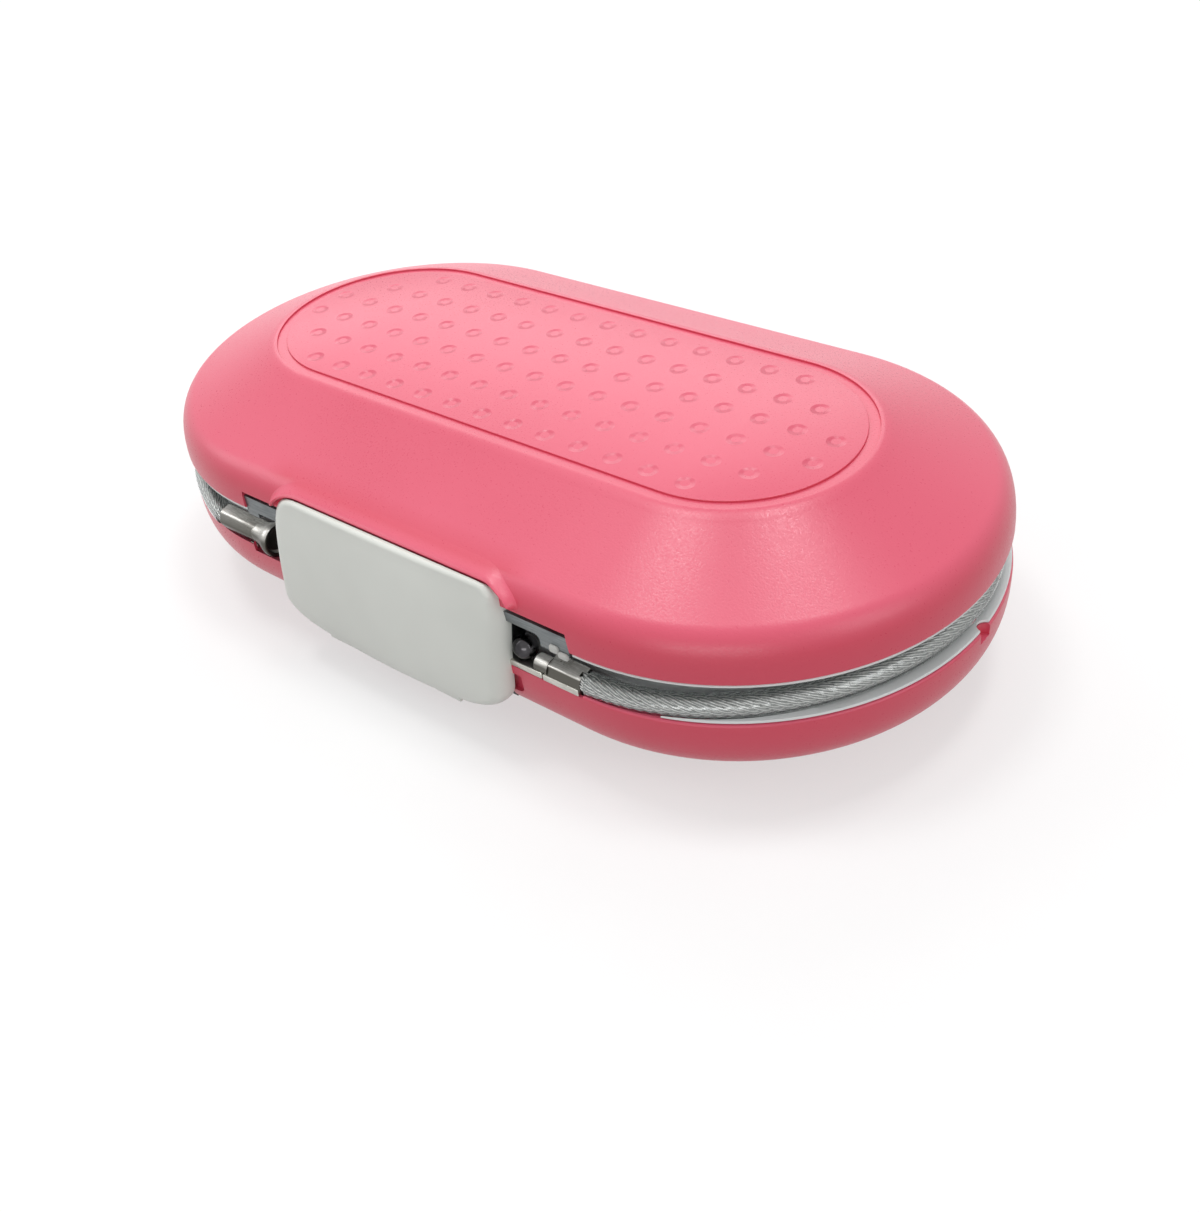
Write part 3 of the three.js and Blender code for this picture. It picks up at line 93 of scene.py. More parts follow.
class Wire:
    """An output socket. Sums and products with it add Math nodes to its tree."""

    def __init__(self, graph, socket):
        self.graph = graph
        self.socket = socket

    def beside(self, name):
        """Another output of the same node."""
        return Wire(self.graph, self.socket.node.outputs[name])

    def math(self, operation, *others):
        values = dict(enumerate((self, *others)))
        return self.graph.node("ShaderNodeMath", {"operation": operation}, values)

    def __add__(self, other):
        return self.math("ADD", other)

    def __sub__(self, other):
        return self.math("SUBTRACT", other)

    def __rsub__(self, other):
        return self * -1 + other

    def __mul__(self, other):
        return self.math("MULTIPLY", other)

    def __truediv__(self, other):
        return self.math("DIVIDE", other)

    def __lt__(self, other):
        return self.math("LESS_THAN", other)

    def __gt__(self, other):
        return self.math("GREATER_THAN", other)

    def __abs__(self):
        return self.math("ABSOLUTE")

    __radd__ = __add__
    __rmul__ = __mul__


class Graph:
    """A node tree, with the one method that adds nodes to it."""

    def __init__(self, owner):
        owner.use_nodes = True
        self.tree = owner.node_tree

    def node(self, kind, settings=None, values=None, output=0):
        made = self.tree.nodes.new(kind)
        for name, value in (settings or {}).items():
            setattr(made, name, value)
        for name, value in (values or {}).items():
            if isinstance(value, Wire):
                self.tree.links.new(value.socket, made.inputs[name])
            else:
                made.inputs[name].default_value = value
        return Wire(self, made.outputs[output])

    def show(self, wire, end):
        """Makes a shader the one that the whole tree gives."""
        self.tree.links.new(wire.socket, self.tree.nodes[end].inputs["Surface"])


class Finish(Graph):
    """A material with one Principled shader. Plain values go straight on its sockets."""

    def __init__(self, name, **plain):
        self.material = bpy.data.materials.new(name)
        super().__init__(self.material)
        self.shader = self.tree.nodes["Principled BSDF"]
        for name, value in plain.items():
            socket = name.replace("_", " ").title().replace("Ior", "IOR")
            self.shader.inputs[socket].default_value = value

    def vary(self, socket, wire):
        self.tree.links.new(wire.socket, self.shader.inputs[socket])

    def place(self):
        """The object's own coordinates, in metres. They move with the piece."""
        return self.node("ShaderNodeTexCoord", output="Object")

    def parts(self, vector):
        """The three numbers of a vector, as wires."""
        apart = self.node("ShaderNodeSeparateXYZ", {}, {"Vector": vector})
        return [apart.beside(axis) for axis in "XYZ"]

    def upright(self):
        """The height of the surface's normal: 1 where it looks up, 0 on a wall."""
        return self.parts(self.node("ShaderNodeTexCoord", output="Normal"))[2]

    def noise(self, size, detail=2.0, stretch=(1, 1, 1)):
        """Noise from 0 to 1 with features about as wide as size, in millimetres."""
        scale = [1 / (size * MM * s) for s in stretch]
        spread = self.node("ShaderNodeMapping", {}, {"Vector": self.place(), "Scale": scale})
        return self.node("ShaderNodeTexNoise", {}, {"Vector": spread, "Scale": 1.0, "Detail": detail})

    def blend(self, factor, dark, light):
        """A colour between two others."""
        shades = {6: dark if isinstance(dark, Wire) else (*dark, 1)}
        shades[7] = light if isinstance(light, Wire) else (*light, 1)
        return self.node("ShaderNodeMix", {"data_type": "RGBA"}, {0: factor, **shades}, output=2)

    def span(self, wire, low, high, start=0.0, end=1.0):
        """wire from start to end, mapped to low to high and held there."""
        values = {"Value": wire, "From Min": start, "From Max": end, "To Min": low, "To Max": high}
        return self.node("ShaderNodeMapRange", {"clamp": True}, values)

    def bump(self, height, distance):
        """Raises the surface by height times distance, in millimetres."""
        values = {"Height": height, "Distance": distance * MM, "Strength": 1.0}
        self.vary("Normal", self.node("ShaderNodeBump", {}, values))


def shade(red, green, blue):
    """A colour written as on a screen, 0 to 255, as the linear values of a shader."""
    parts = [c / 255 for c in (red, green, blue)]
    return tuple(c / 12.92 if c <= 0.04045 else ((c + 0.055) / 1.055) ** 2.4 for c in parts)


# %% [markdown]
# The case is a satin, through-coloured plastic. Three things make it more than one flat
# pink: a slow drift of the tone from the way the melt flowed, a fine spark-eroded grain from
# the mould, and a polish that comes and goes with the grain. The steep walls are painted a
# deeper tone than the faces that look up. So is a band above the cover's brow, which stands
# in for a hollow there. Both are painted shade.
# The same finish carries the lid's dots, which are less than half a millimetre deep. The
# plan is folded into cells one pitch wide, and the distance from the middle of a cell gives
# a small dish for the bump. Each pair of rows ends a little earlier than the one before, so
# the pattern fits the panel's round ends.

# %% Pink plastic
DOT_PITCH = 10.1
DOT_SHIFT = 1.0
DOT_RADIUS = 2.4
DOT_EDGE = 1.2
DOT_DEPTH = 0.4
DOT_ROWS = ((1, 85), (2, 75), (3, 65))
PANEL_RIM = 0.3
PINK_DEEP = shade(218, 86, 110)
PINK_LIGHT = shade(224, 94, 118)
# Painted shade: the deeper pink given to steep walls and to the band above the cover's brow.
PINK_PAINTED_SHADE = shade(212, 70, 92)
PAINTED_WALL_SHADE_FACING = (0.3, 0.86)
# Where the painted shade stands in for the hollow above the cover's brow.
HOLLOW_RISE = (49.3, 50.0)
HOLLOW_FALL = (50.1, 52.4)
HOLLOW_MIDDLE = -2.3
HOLLOW_SIDES = (37, 44)
HOLLOW_FRONT = -50
HOLLOW_SHADE_SHARE = 0.7
DRIFT = (0.3, 0.7)
GRAIN_SHARE = 0.08


def dot_mask(finish):
    """1 in the middle of each dot of the lid's panel, and 0 around it."""
    along, across, up = (part / MM for part in finish.parts(finish.place()))
    along = along + DOT_SHIFT
    cell_along = (along / DOT_PITCH + 0.5).math("FRACT") - 0.5
    cell_across = (across / DOT_PITCH).math("FRACT") - 0.5
    reach = (cell_along * cell_along + cell_across * cell_across).math("SQRT") * DOT_PITCH
    dot = finish.span(reach, 1.0, 0.0, DOT_RADIUS - DOT_EDGE, DOT_RADIUS)
    inside = 0.0
    for row, end in DOT_ROWS:
        here = (abs(across) < row * DOT_PITCH) * (abs(across) > (row - 1) * DOT_PITCH)
        inside = here * (abs(along) < end) + inside
    return dot * inside * (up > lid_top - PANEL_RIM)


def hollow_mask(finish):
    """Painted shade in place of the hollow above the cover's brow: 1 along it, fading out upwards and past its
    ends.
    """
    along, across, up = (part / MM for part in finish.parts(finish.place()))
    band = finish.span(up, 0, 1, *HOLLOW_RISE) * finish.span(up, 1, 0, *HOLLOW_FALL)
    return band * finish.span(abs(along - HOLLOW_MIDDLE), 1, 0, *HOLLOW_SIDES) * (across < HOLLOW_FRONT)


lid_top = corners("lid_shell")[1].z
pink = Finish("pink_plastic", roughness=0.36, specular_ior_level=0.5)
drift = pink.noise(60, detail=1)
tone = pink.blend(pink.span(drift, 0, 1, *DRIFT), PINK_DEEP, PINK_LIGHT)
# Painted shade: walls that turn away from straight up get a deeper pink.
tone = pink.blend(pink.span(pink.upright(), 0, 1, *PAINTED_WALL_SHADE_FACING), PINK_PAINTED_SHADE, tone)
# Painted shade: the band above the cover's brow gets the same deeper pink.
pink.vary("Base Color", pink.blend(hollow_mask(pink) * HOLLOW_SHADE_SHARE, tone, PINK_PAINTED_SHADE))
grain = pink.noise(0.5, detail=3)
pink.vary("Roughness", pink.span(grain, 0.26, 0.4, *DRIFT) + pink.span(drift, -0.02, 0.02, *DRIFT))
pink.bump(grain * GRAIN_SHARE - dot_mask(pink), DOT_DEPTH)
print("pink", [round(c, 3) for c in PINK_LIGHT])

# %% [markdown]
# Liners, cover, dials and button are moulded too, so they share one recipe with other
# tones and grains. The cover shows a little more dirt than the rest, as white plastic does.

# %% The other plastics


def moulded(name, dark, light, rough, grain_size=0.3, depth=0.012):
    """A moulded plastic: slow drift of the tone, fine grain in bump and polish."""
    finish = Finish(name, roughness=rough, specular_ior_level=0.45)
    drift = finish.noise(30, detail=2)
    finish.vary("Base Color", finish.blend(finish.span(drift, 0, 1, *DRIFT), dark, light))
    grain = finish.noise(grain_size, detail=3)
    finish.vary("Roughness", finish.span(grain, rough - 0.05, rough + 0.07))
    finish.bump(grain, depth)
    return finish


liner_grey = moulded("liner_plastic", shade(222, 224, 224), shade(232, 234, 234), 0.42)
cover_white = moulded("cover_plastic", shade(218, 220, 214), shade(226, 228, 222), 0.42)
dial_black = moulded("dial_plastic", shade(24, 25, 27), shade(36, 37, 39), 0.4)
stop_grey = moulded("stop_plastic", shade(182, 182, 178), shade(200, 200, 196), 0.4)
face_black = moulded("face_plate_plastic", shade(38, 39, 42), shade(50, 51, 54), 0.5, 0.5, 0.03)
button_white = moulded("button_plastic", shade(214, 214, 208), shade(226, 226, 220), 0.4)
number_paint = moulded("number_paint", shade(232, 232, 226), shade(242, 242, 238), 0.55)

# %% [markdown]
# Sheet steel keeps the lines of the rolling mill, so its noise is stretched along X. The
# turned and crimped parts are brighter, with scratches round them and a slow tarnish.

# %% The metals


def steel(name, dark, light, rough, stretch=(18, 1, 1), line=0.25, depth=0.006):
    """Steel with fine lines along one axis, a slow tarnish and an uneven polish."""
    finish = Finish(name, metallic=1.0, roughness=rough)
    lines = finish.noise(line, detail=3, stretch=stretch)
    tarnish = finish.noise(6, detail=3)
    wear = finish.span(lines * 0.5 + tarnish * 0.5, 0, 1, 0.35, 0.65)
    finish.tone = finish.blend(wear, dark, light)
    finish.vary("Base Color", finish.tone)
    finish.vary("Roughness", finish.span(tarnish, rough - 0.08, rough + 0.12, *DRIFT))
    finish.bump(lines, depth)
    return finish


plate_steel = steel("plate_steel", shade(98, 102, 104), shade(136, 140, 141), 0.42)
frame_steel = steel("frame_steel", shade(112, 116, 118), shade(140, 144, 146), 0.45)
fitting_steel = steel("fitting_steel", shade(168, 166, 158), shade(204, 203, 196), 0.3, (6, 1, 1), 0.3)
barrel_steel = steel("barrel_steel", shade(186, 183, 176), shade(246, 245, 240), 0.32, (8, 1, 1), 0.3, 0.02)
turned_steel = steel("turned_steel", shade(150, 152, 152), shade(186, 187, 186), 0.3, (1, 12, 12))
ball_chrome = steel("ball_chrome", shade(34, 33, 36), shade(84, 82, 84), 0.1, (1, 1, 1), 2.0, 0.05)

# %% [markdown]
# A crimped barrel's colour is painted lighter on top and darker on its sides, where the
# surface turns away from straight up: painted light and shade. Its sides are also made more
# metallic than its top.

# %% Barrels with painted light on top
PAINTED_TOP_LIGHT_HEIGHTS = (0.35, 0.8)

# Painted light and shade: the barrels are lighter where the surface looks up, darker on the sides.
painted_top_light = barrel_steel.span(barrel_steel.upright(), 0.0, 1.0, *PAINTED_TOP_LIGHT_HEIGHTS)
barrel_steel.vary("Base Color", barrel_steel.blend(painted_top_light, shade(92, 90, 84), barrel_steel.tone))
barrel_steel.vary("Metallic", barrel_steel.span(painted_top_light, 0.95, 0.55))
print("barrels painted_lighter above a normal's height of", PAINTED_TOP_LIGHT_HEIGHTS[0])

# %% [markdown]
# The rope inside the cable is laid from strands, and each strand from wires. The strands
# are real meshes further on; the wires are too thin for that, so they are drawn as a bump
# over the strand's own coordinates, which run along it and round it. The same wave paints
# the grooves between the wires darker: painted shade. The jacket round the rope is clear
# PVC with a faint grey-green cast.

# %% Rope and jacket
STRANDS = 6
STRAND_LAY = 15.0
WIRES = 7
WIRE_TURNS = 0.35

rope_steel = Finish("rope_steel", metallic=0.3, roughness=0.26)
strand_uv = rope_steel.node("ShaderNodeUVMap", {"uv_map": "strand"})
strand_along, strand_round, _ = rope_steel.parts(strand_uv)
wire_phase = (strand_round * WIRES + strand_along * WIRE_TURNS) * math.tau
wire_height = wire_phase.math("SINE") * 0.5 + 0.5
# Painted shade: the colour is darker in the grooves between the wires.
rope_steel.vary("Base Color", rope_steel.blend(wire_height, shade(124, 128, 127), shade(252, 253, 250)))
rope_steel.vary("Roughness", rope_steel.span(rope_steel.noise(1.5), 0.2, 0.4))
rope_steel.bump(wire_height + rope_steel.noise(0.5) * 0.6, 0.16)

clear_pvc = Finish("clear_pvc", metallic=1.0, roughness=0.1, base_color=(0.95, 0.98, 0.97, 1))
skin_along, skin_round, _ = clear_pvc.parts(clear_pvc.node("ShaderNodeUVMap", {"uv_map": "strand"}))
skin_wave = ((skin_round - skin_along * (1 / STRAND_LAY)) * (STRANDS * math.tau)).math("SINE")
clear_pvc.vary("Alpha", clear_pvc.node("ShaderNodeFresnel", {}, {"IOR": 1.45}) * 1.7 + 0.05)
clear_pvc.bump(skin_wave * 0.5 + clear_pvc.noise(4.0, detail=1), 0.05)

# %% [markdown]
# Meshes are written in millimetres and scaled to metres when they are made. Each piece
# then gets its finish and the body that it rides on, and the CAD nodes that it stands for
# are hidden. Edges sharper than an angle stay sharp, and the rest shades smoothly.

# %% Making a piece
SHARP = math.radians(32)


def raw(name, vertices, faces):
    """A mesh object from points in millimetres, with doubled points merged and faces out."""
    mesh = bpy.data.meshes.new(name)
    mesh.from_pydata([Vector(v) * MM for v in vertices], [], faces)
    work = bmesh.new()
    work.from_mesh(mesh)
    bmesh.ops.remove_doubles(work, verts=work.verts, dist=1e-6)
    bmesh.ops.dissolve_degenerate(work, edges=work.edges, dist=1e-7)
    bmesh.ops.recalc_face_normals(work, faces=work.faces)
    work.to_mesh(mesh)
    work.free()
    made = bpy.data.objects.new(name, mesh)
    bpy.context.scene.collection.objects.link(made)
    return made


def dress(made, finish, body, slot, *nodes, sharp=SHARP):
    """Finish, body and replaced nodes of one piece. The slot is not used."""
    made.data.materials.clear()
    made.data.materials.append(finish.material)
    made.data.shade_smooth()
    made.data.set_sharp_from_angle(angle=sharp)
    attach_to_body(made, body)
    if nodes:
        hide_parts(*nodes)
    print(made.name, len(made.data.polygons), "faces on", body)
    return made


def settle(made):
    """Turns an object's modifiers into its mesh."""
    graph = bpy.context.evaluated_depsgraph_get()
    mesh = bpy.data.meshes.new_from_object(made.evaluated_get(graph))
    made.modifiers.clear()
    made.data = mesh
    return made


def combine(made, tool, operation):
    modifier = made.modifiers.new(operation.lower(), "BOOLEAN")
    modifier.operation = operation
    modifier.solver = "MANIFOLD"
    modifier.object = tool
    settle(made)
    bpy.data.objects.remove(tool)
    return made


def cut(made, *tools):
    for tool in tools:
        combine(made, tool, "DIFFERENCE")
    return made


def add(made, *tools):
    for tool in tools:
        combine(made, tool, "UNION")
    return made


def attach(made, *others):
    """Other meshes become part of this one, as they are."""
    work = bmesh.new()
    work.from_mesh(made.data)
    for other in others:
        work.from_mesh(other.data)
        bpy.data.objects.remove(other)
    work.to_mesh(made.data)
    work.free()
    return made


def rounded(made, width, segments=3, angle=30):
    """Rounds every edge sharper than an angle."""
    modifier = made.modifiers.new("round", "BEVEL")
    modifier.width = width * MM
    modifier.segments = segments
    modifier.limit_method = "ANGLE"
    modifier.angle_limit = math.radians(angle)
    return settle(made)


# %% [markdown]
# Most forms are prisms, turned bodies or boxes, so a few short functions make them. A grid
# of points, row after row, is closed by quads between the rows and a cap at each end.

# %% Prisms, bars and boxes
AXES = {
    "x": Matrix(((0, 0, 1), (1, 0, 0), (0, 1, 0))),
    "y": Matrix(((1, 0, 0), (0, 0, 1), (0, 1, 0))),
    "z": Matrix.Identity(3),
}


def quads(rows, columns, closed=False):
    """The faces between a grid's rows. A closed grid joins its last column to its first."""
    faces = []
    for start in range(0, (rows - 1) * columns, columns):
        for i in range(columns if closed else columns - 1):
            j = (i + 1) % columns
            faces.append((start + i, start + j, start + columns + j, start + columns + i))
    return faces


def caps(rows, columns):
    """The first and the last row of a grid, one face each."""
    return [list(range(columns)), list(range((rows - 1) * columns, rows * columns))]


def prism(name, outline, start, end, axis):
    """An outline extruded along an axis. Its own axes are (y, z), (x, z) or (x, y)."""
    count = len(outline)
    points = [AXES[axis] @ Vector((a, b, c)) for c in (start, end) for a, b in outline]
    return raw(name, points, caps(2, count) + quads(2, count, True))


def circle(radius, middle, count=48):
    turns = [math.tau * i / count for i in range(count)]
    return [(middle[0] + radius * math.cos(t), middle[1] + radius * math.sin(t)) for t in turns]


def bar(name, radius, start, end, middle, axis, count=48):
    return prism(name, circle(radius, middle, count), start, end, axis)


def box(name, low, high):
    outline = [(low[0], low[1]), (high[0], low[1]), (high[0], high[1]), (low[0], high[1])]
    return prism(name, outline, low[2], high[2], "z")


def turned(name, line, middle, axis, count=64):
    """A line of (place, radius) turned about an axis through middle."""
    points = []
    for place, radius in line:
        points += [AXES[axis] @ Vector((a, b, place)) for a, b in circle(radius, middle, count)]
    return raw(name, points, quads(len(line), count, True) + caps(len(line), count))


def arc(middle, radius, start, end, count):
    """Points on a circle between two angles in degrees."""
    turns = [math.radians(start + (end - start) * i / count) for i in range(count + 1)]
    return [(middle[0] + radius * math.cos(t), middle[1] + radius * math.sin(t)) for t in turns]


def bend(start, pull, end, count):
    """A quadratic curve, without its first point."""
    points = []
    for t in [i / count for i in range(1, count + 1)]:
        shares = ((1 - t) ** 2, 2 * t * (1 - t), t * t)
        points.append(tuple(shares[0] * s + shares[1] * p + shares[2] * e for s, p, e in zip(start, pull, end)))
    return points


# %% [markdown]
# The case's plan is a racetrack: two half circles joined by straight runs. A profile of
# radius and height swept round it gives a whole shell at once. The CAD shells are faceted,
# and their long straight edges would show as corners, so both halves are swept again from
# the same numbers with four times the steps, and with small radii on their rims.

# %% Sweeping a profile round the case
ARC_STEPS = 72
base_high = corners("base_shell")[1]
HALF_STRAIGHT = base_high.x - base_high.y
RIM = base_high.y
LID_RIM = corners("lid_shell")[1].x - HALF_STRAIGHT
BODY_HEIGHT = corners("lid_shell")[1].z
BASE_RIM_HEIGHT = 27.4
LID_RIM_HEIGHT = 38.4
FACE_RADIUS = 33.4
SHOULDER_DROP = 10.5
BASE_SHOULDER = 57.5
LID_SHOULDER = 59.0
SHELL_WALL = 2.4


def racetrack(name, profile):
    """A closed profile of (radius, height) swept round the plan."""
    rings = []
    for side in (1, -1):
        for step in range(ARC_STEPS + 1):
            turn = math.pi * (step / ARC_STEPS - 0.5) + (0 if side > 0 else math.pi)
            middle, across, along = side * HALF_STRAIGHT, math.cos(turn), math.sin(turn)
            rings.append([(middle + r * across, r * along, z) for r, z in profile])
    size = len(profile)
    faces = []
    for j in range(len(rings)):
        after = (j + 1) % len(rings)
        for i in range(size):
            k = (i + 1) % size
            if profile[i][0] or profile[k][0]:
                faces.append((j * size + i, after * size + i, after * size + k, j * size + k))
    return raw(name, [point for ring in rings for point in ring], faces)


def skin_line(rim, shoulder, straight, depth, steps=20):
    """Half a shell's outer line, as (radius, depth below its flat face)."""
    slope = SHOULDER_DROP / (shoulder - FACE_RADIUS)
    corner = SHOULDER_DROP + slope * (rim - shoulder)
    line = [(0, 0), (FACE_RADIUS, 0), (shoulder, SHOULDER_DROP)]
    line += bend((shoulder, SHOULDER_DROP), (rim, corner), (rim, depth - straight), steps)
    if straight > 0:
        line.append((rim, depth))
    return line


def inset(line, thickness):
    """The same line moved inwards."""
    normals = []
    for (r, d), (next_r, next_d) in zip(line, line[1:]):
        along = Vector((next_r - r, next_d - d)).normalized()
        normals.append(Vector((-along.y, along.x)))
    moved = []
    for i, (r, d) in enumerate(line):
        before, after = normals[max(i - 1, 0)], normals[min(i, len(normals) - 1)]
        reach = thickness / (1 + before.dot(after))
        moved.append((r + (before.x + after.x) * reach, d + (before.y + after.y) * reach))
    moved[0] = (0, moved[0][1])
    return moved


def shell_profile(skin, wall, edge_out, edge_in):
    """A closed wall under a skin line, with round edges on its rim."""
    inner = inset(skin, wall)
    (rim, depth), inner_rim = skin[-1], inner[-1][0]
    outer_edge = arc((rim - edge_out, depth - edge_out), edge_out, 0, 90, 5)
    inner_edge = arc((inner_rim + edge_in, depth - edge_in), edge_in, 90, 180, 4)
    return skin[:-1] + outer_edge + inner_edge + inner[-2::-1]


base_skin = skin_line(RIM, BASE_SHOULDER, 3.4, BASE_RIM_HEIGHT)
lid_skin = skin_line(LID_RIM, LID_SHOULDER, 0.0, BODY_HEIGHT - LID_RIM_HEIGHT)
print("rim radius", round(RIM, 2), "lid rim", round(LID_RIM, 2), "half straight", round(HALF_STRAIGHT, 2))

# %% [markdown]
# The cable's route is a list of given points: straight out of each barrel, up on
# to the groove's floor, round the ends, and inwards at the back to pass inside the hinge.
# One smooth curve goes through them. The rope's strands wind round that curve at one
# short lay, and a clear skin closes round them.

# %% The cable's route
FITTING_Y = -62.2
FITTING_Z = 29.4
LEFT_SPOT = Vector((-52.0, -61.9, 28.8))
LEFT_RUN = Vector((-1.0, -0.06, 0.1))
CABLE_Z = 31.1
BARREL_END = 57.2
LEFT_BARREL_END = 66.8
ROPE_HOLD = 1.0
TURN_RADII = {1: (62.2, 60.3), -1: (63.0, 60.3)}
TURN_STEPS = 14
TURN_IN_STEPS = 6
CLIMB_STEPS = 4.5
BACK_Y = 54.9
BACK_SHARES = ((0.82, 0.12), (0.68, 0.6), (0.55, 0.94), (0.43, 1.0), (0.14, 1.0))
CURVE_STEPS = 24
KNOT_SPANS = (((0, 0, 1), (1, 1, 2), (2, 2, 3)), ((0, 0, 2), (1, 1, 3)), ((0, 1, 2),))


def ease(t):
    t = min(1.0, t)
    return t * t * (3 - 2 * t)


def barrel_axis(x):
    """The point of a barrel's axis at one x. The left one climbs and runs out a little."""
    if x > 0:
        return Vector((x, FITTING_Y, FITTING_Z))
    return LEFT_SPOT + LEFT_RUN * (LEFT_SPOT.x - x)


def half_route(side, end):
    """The route from one barrel to the middle of the back."""
    points = [barrel_axis(side * x) for x in (end - ROPE_HOLD, end + 0.5)]
    first_radius, last_radius = TURN_RADII[side]
    start = points[-1].z
    for i in range(1 if side > 0 else 2, TURN_STEPS + 1):
        turn = math.pi * (i / TURN_STEPS - 0.5)
        radius = first_radius + (last_radius - first_radius) * ease(i / TURN_IN_STEPS)
        height = start + (CABLE_Z - start) * ease(i / CLIMB_STEPS)
        x = side * (HALF_STRAIGHT + radius * math.cos(turn))
        points.append(Vector((x, radius * math.sin(turn), height)))
    for along, inwards in BACK_SHARES:
        y = last_radius + (BACK_Y - last_radius) * inwards
        points.append(Vector((side * HALF_STRAIGHT * along, y, CABLE_Z)))
    return points


def route_points():
    return half_route(1, BARREL_END) + half_route(-1, LEFT_BARREL_END)[::-1]


def smooth_line(points, step):
    """A centripetal Catmull-Rom curve through points, resampled at an even step."""
    ends = [2 * points[0] - points[1], *points, 2 * points[-1] - points[-2]]
    fine = []
    for a, b, c, d in zip(ends, ends[1:], ends[2:], ends[3:]):
        knots = [0.0]
        for p, q in ((a, b), (b, c), (c, d)):
            knots.append(knots[-1] + max((q - p).length ** 0.5, 1e-6))
        for i in range(CURVE_STEPS):
            t = knots[1] + (knots[2] - knots[1]) * i / CURVE_STEPS
            level = [a, b, c, d]
            for spans in KNOT_SPANS:
                level = [
                    level[k] + (level[k + 1] - level[k]) * ((t - knots[lo]) / (knots[hi] - knots[lo]))
                    for k, lo, hi in spans
                ]
            fine.append(level[0])
    fine.append(points[-1])
    lengths = [0.0]
    for p, q in zip(fine, fine[1:]):
        lengths.append(lengths[-1] + (q - p).length)
    count = round(lengths[-1] / step)
    even, k = [], 0
    for i in range(count + 1):
        target = lengths[-1] * i / count
        while k < len(fine) - 2 and lengths[k + 1] < target:
            k += 1
        share = (target - lengths[k]) / (lengths[k + 1] - lengths[k])
        even.append(fine[k].lerp(fine[k + 1], share))
    return even, lengths[-1]


cable_line, cable_length = smooth_line(route_points(), 0.8)
print("cable length", round(cable_length, 1), "mm in", len(cable_line), "steps")

# %% [markdown]
# A frame is carried along the route without twisting: each step turns the last frame only
# as much as the curve turns. Tubes and strands are circles placed in those frames.

# %% Tubes along the route


def carried_frames(line):
    """A pair of cross directions at each point of a line, carried along without twist."""
    last = len(line) - 1
    tangents = [(line[min(i + 1, last)] - line[max(i - 1, 0)]).normalized() for i in range(last + 1)]
    side = tangents[0].cross(Vector((0, 0, 1))).normalized()
    frames = []
    for i, tangent in enumerate(tangents):
        if i:
            side = tangents[i - 1].rotation_difference(tangent) @ side
            side = (side - tangent * side.dot(tangent)).normalized()
        frames.append((side, tangent.cross(side)))
    return frames


def tube(name, line, radius, count, uv_name=None):
    """A closed tube round a line, in millimetres."""
    points = []
    for middle, (side, up) in zip(line, carried_frames(line)):
        for i in range(count):
            turn = math.tau * i / count
            points.append(middle + side * (radius * math.cos(turn)) + up * (radius * math.sin(turn)))
    made = raw(name, points, quads(len(line), count, True) + caps(len(line), count))
    if uv_name:
        layer = made.data.uv_layers.new(name=uv_name)
        step = (line[1] - line[0]).length
        for face in made.data.polygons[:-2]:
            columns = {v % count for v in face.vertices}
            wraps = {0, count - 1} <= columns
            for loop in face.loop_indices:
                j, i = divmod(made.data.loops[loop].vertex_index, count)
                layer.data[loop].uv = (j * step, (count if wraps and i == 0 else i) / count)
    return made


# %% [markdown]
# The base. Its skin is cut as the CAD node's is: a window behind the cover for the lock, a
# low step under the barrels with a wall before it, room for the left barrel's bell, the
# cable's own bed in the rim and a half-round notch at each tip.

# %% Base shell
LOCK_X = -2.3
LOCK_HALF = 35.5
LOCK_BOTTOM = 12.8
RECESS_BACK = 44.2
SEAT_FLOOR = 24.5
SEAT_FRONT = -64.2
FRONT_FLOOR = 26.9
FRONT_LEFT = -54.5
BELL_ROOM = 5.2
CRADLE = 3.0
LEFT_CRADLE = 3.8
NOTCH_RADIUS = 2.2
NOTCH_DEPTH = 3.0
POCKET_END = 39.2
POCKET_FLOOR = 18.6
POCKET_BACK = -63.3
POCKET_CORNER = 2.4
BARREL_ROOM = 0.3
LOCK_ROOM = 1.2
HIGH = 60
OVER = 8.0


def tip_notches(low):
    return [
        bar("notch", NOTCH_RADIUS, low, BASE_RIM_HEIGHT + OVER, (side * (HALF_STRAIGHT + RIM), 0), "z")
        for side in (-1, 1)
    ]


def cable_bed():
    """The room that the cable takes in the rims, one finer tube for every cut."""
    return tube("bed", cable_line[::3] + [cable_line[-1]], CRADLE, 24)


base = racetrack("base_shell_skin", shell_profile(base_skin, SHELL_WALL, 0.7, 0.4))
lock_left, lock_right = LOCK_X - LOCK_HALF, LOCK_X + LOCK_HALF
room_left, room_right = lock_left - LOCK_ROOM, lock_right + LOCK_ROOM
seat_end = BARREL_END + BARREL_ROOM
window = box("window", (room_left, -RIM - OVER, LOCK_BOTTOM - 0.5), (room_right, -RECESS_BACK, HIGH))
seat = box("seat", (-seat_end, SEAT_FRONT, SEAT_FLOOR), (seat_end, -RIM + SHELL_WALL + 0.5, HIGH))
front = box("front", (FRONT_LEFT, -RIM - OVER, FRONT_FLOOR), (seat_end, SEAT_FRONT + 0.1, HIGH))
bell_room = bar("bell_room", BELL_ROOM, FRONT_LEFT, lock_left, (LEFT_SPOT.y, LEFT_SPOT.z), "x")
pocket_round = (POCKET_END - POCKET_CORNER, POCKET_FLOOR + POCKET_CORNER)
pocket_outline = [(lock_right, POCKET_FLOOR), *arc(pocket_round, POCKET_CORNER, -90, 0, 10)]
pocket_outline += [(POCKET_END, SEAT_FLOOR), (lock_right, SEAT_FLOOR)]
pocket = prism("pocket", pocket_outline, -RIM - OVER, POCKET_BACK, "y")
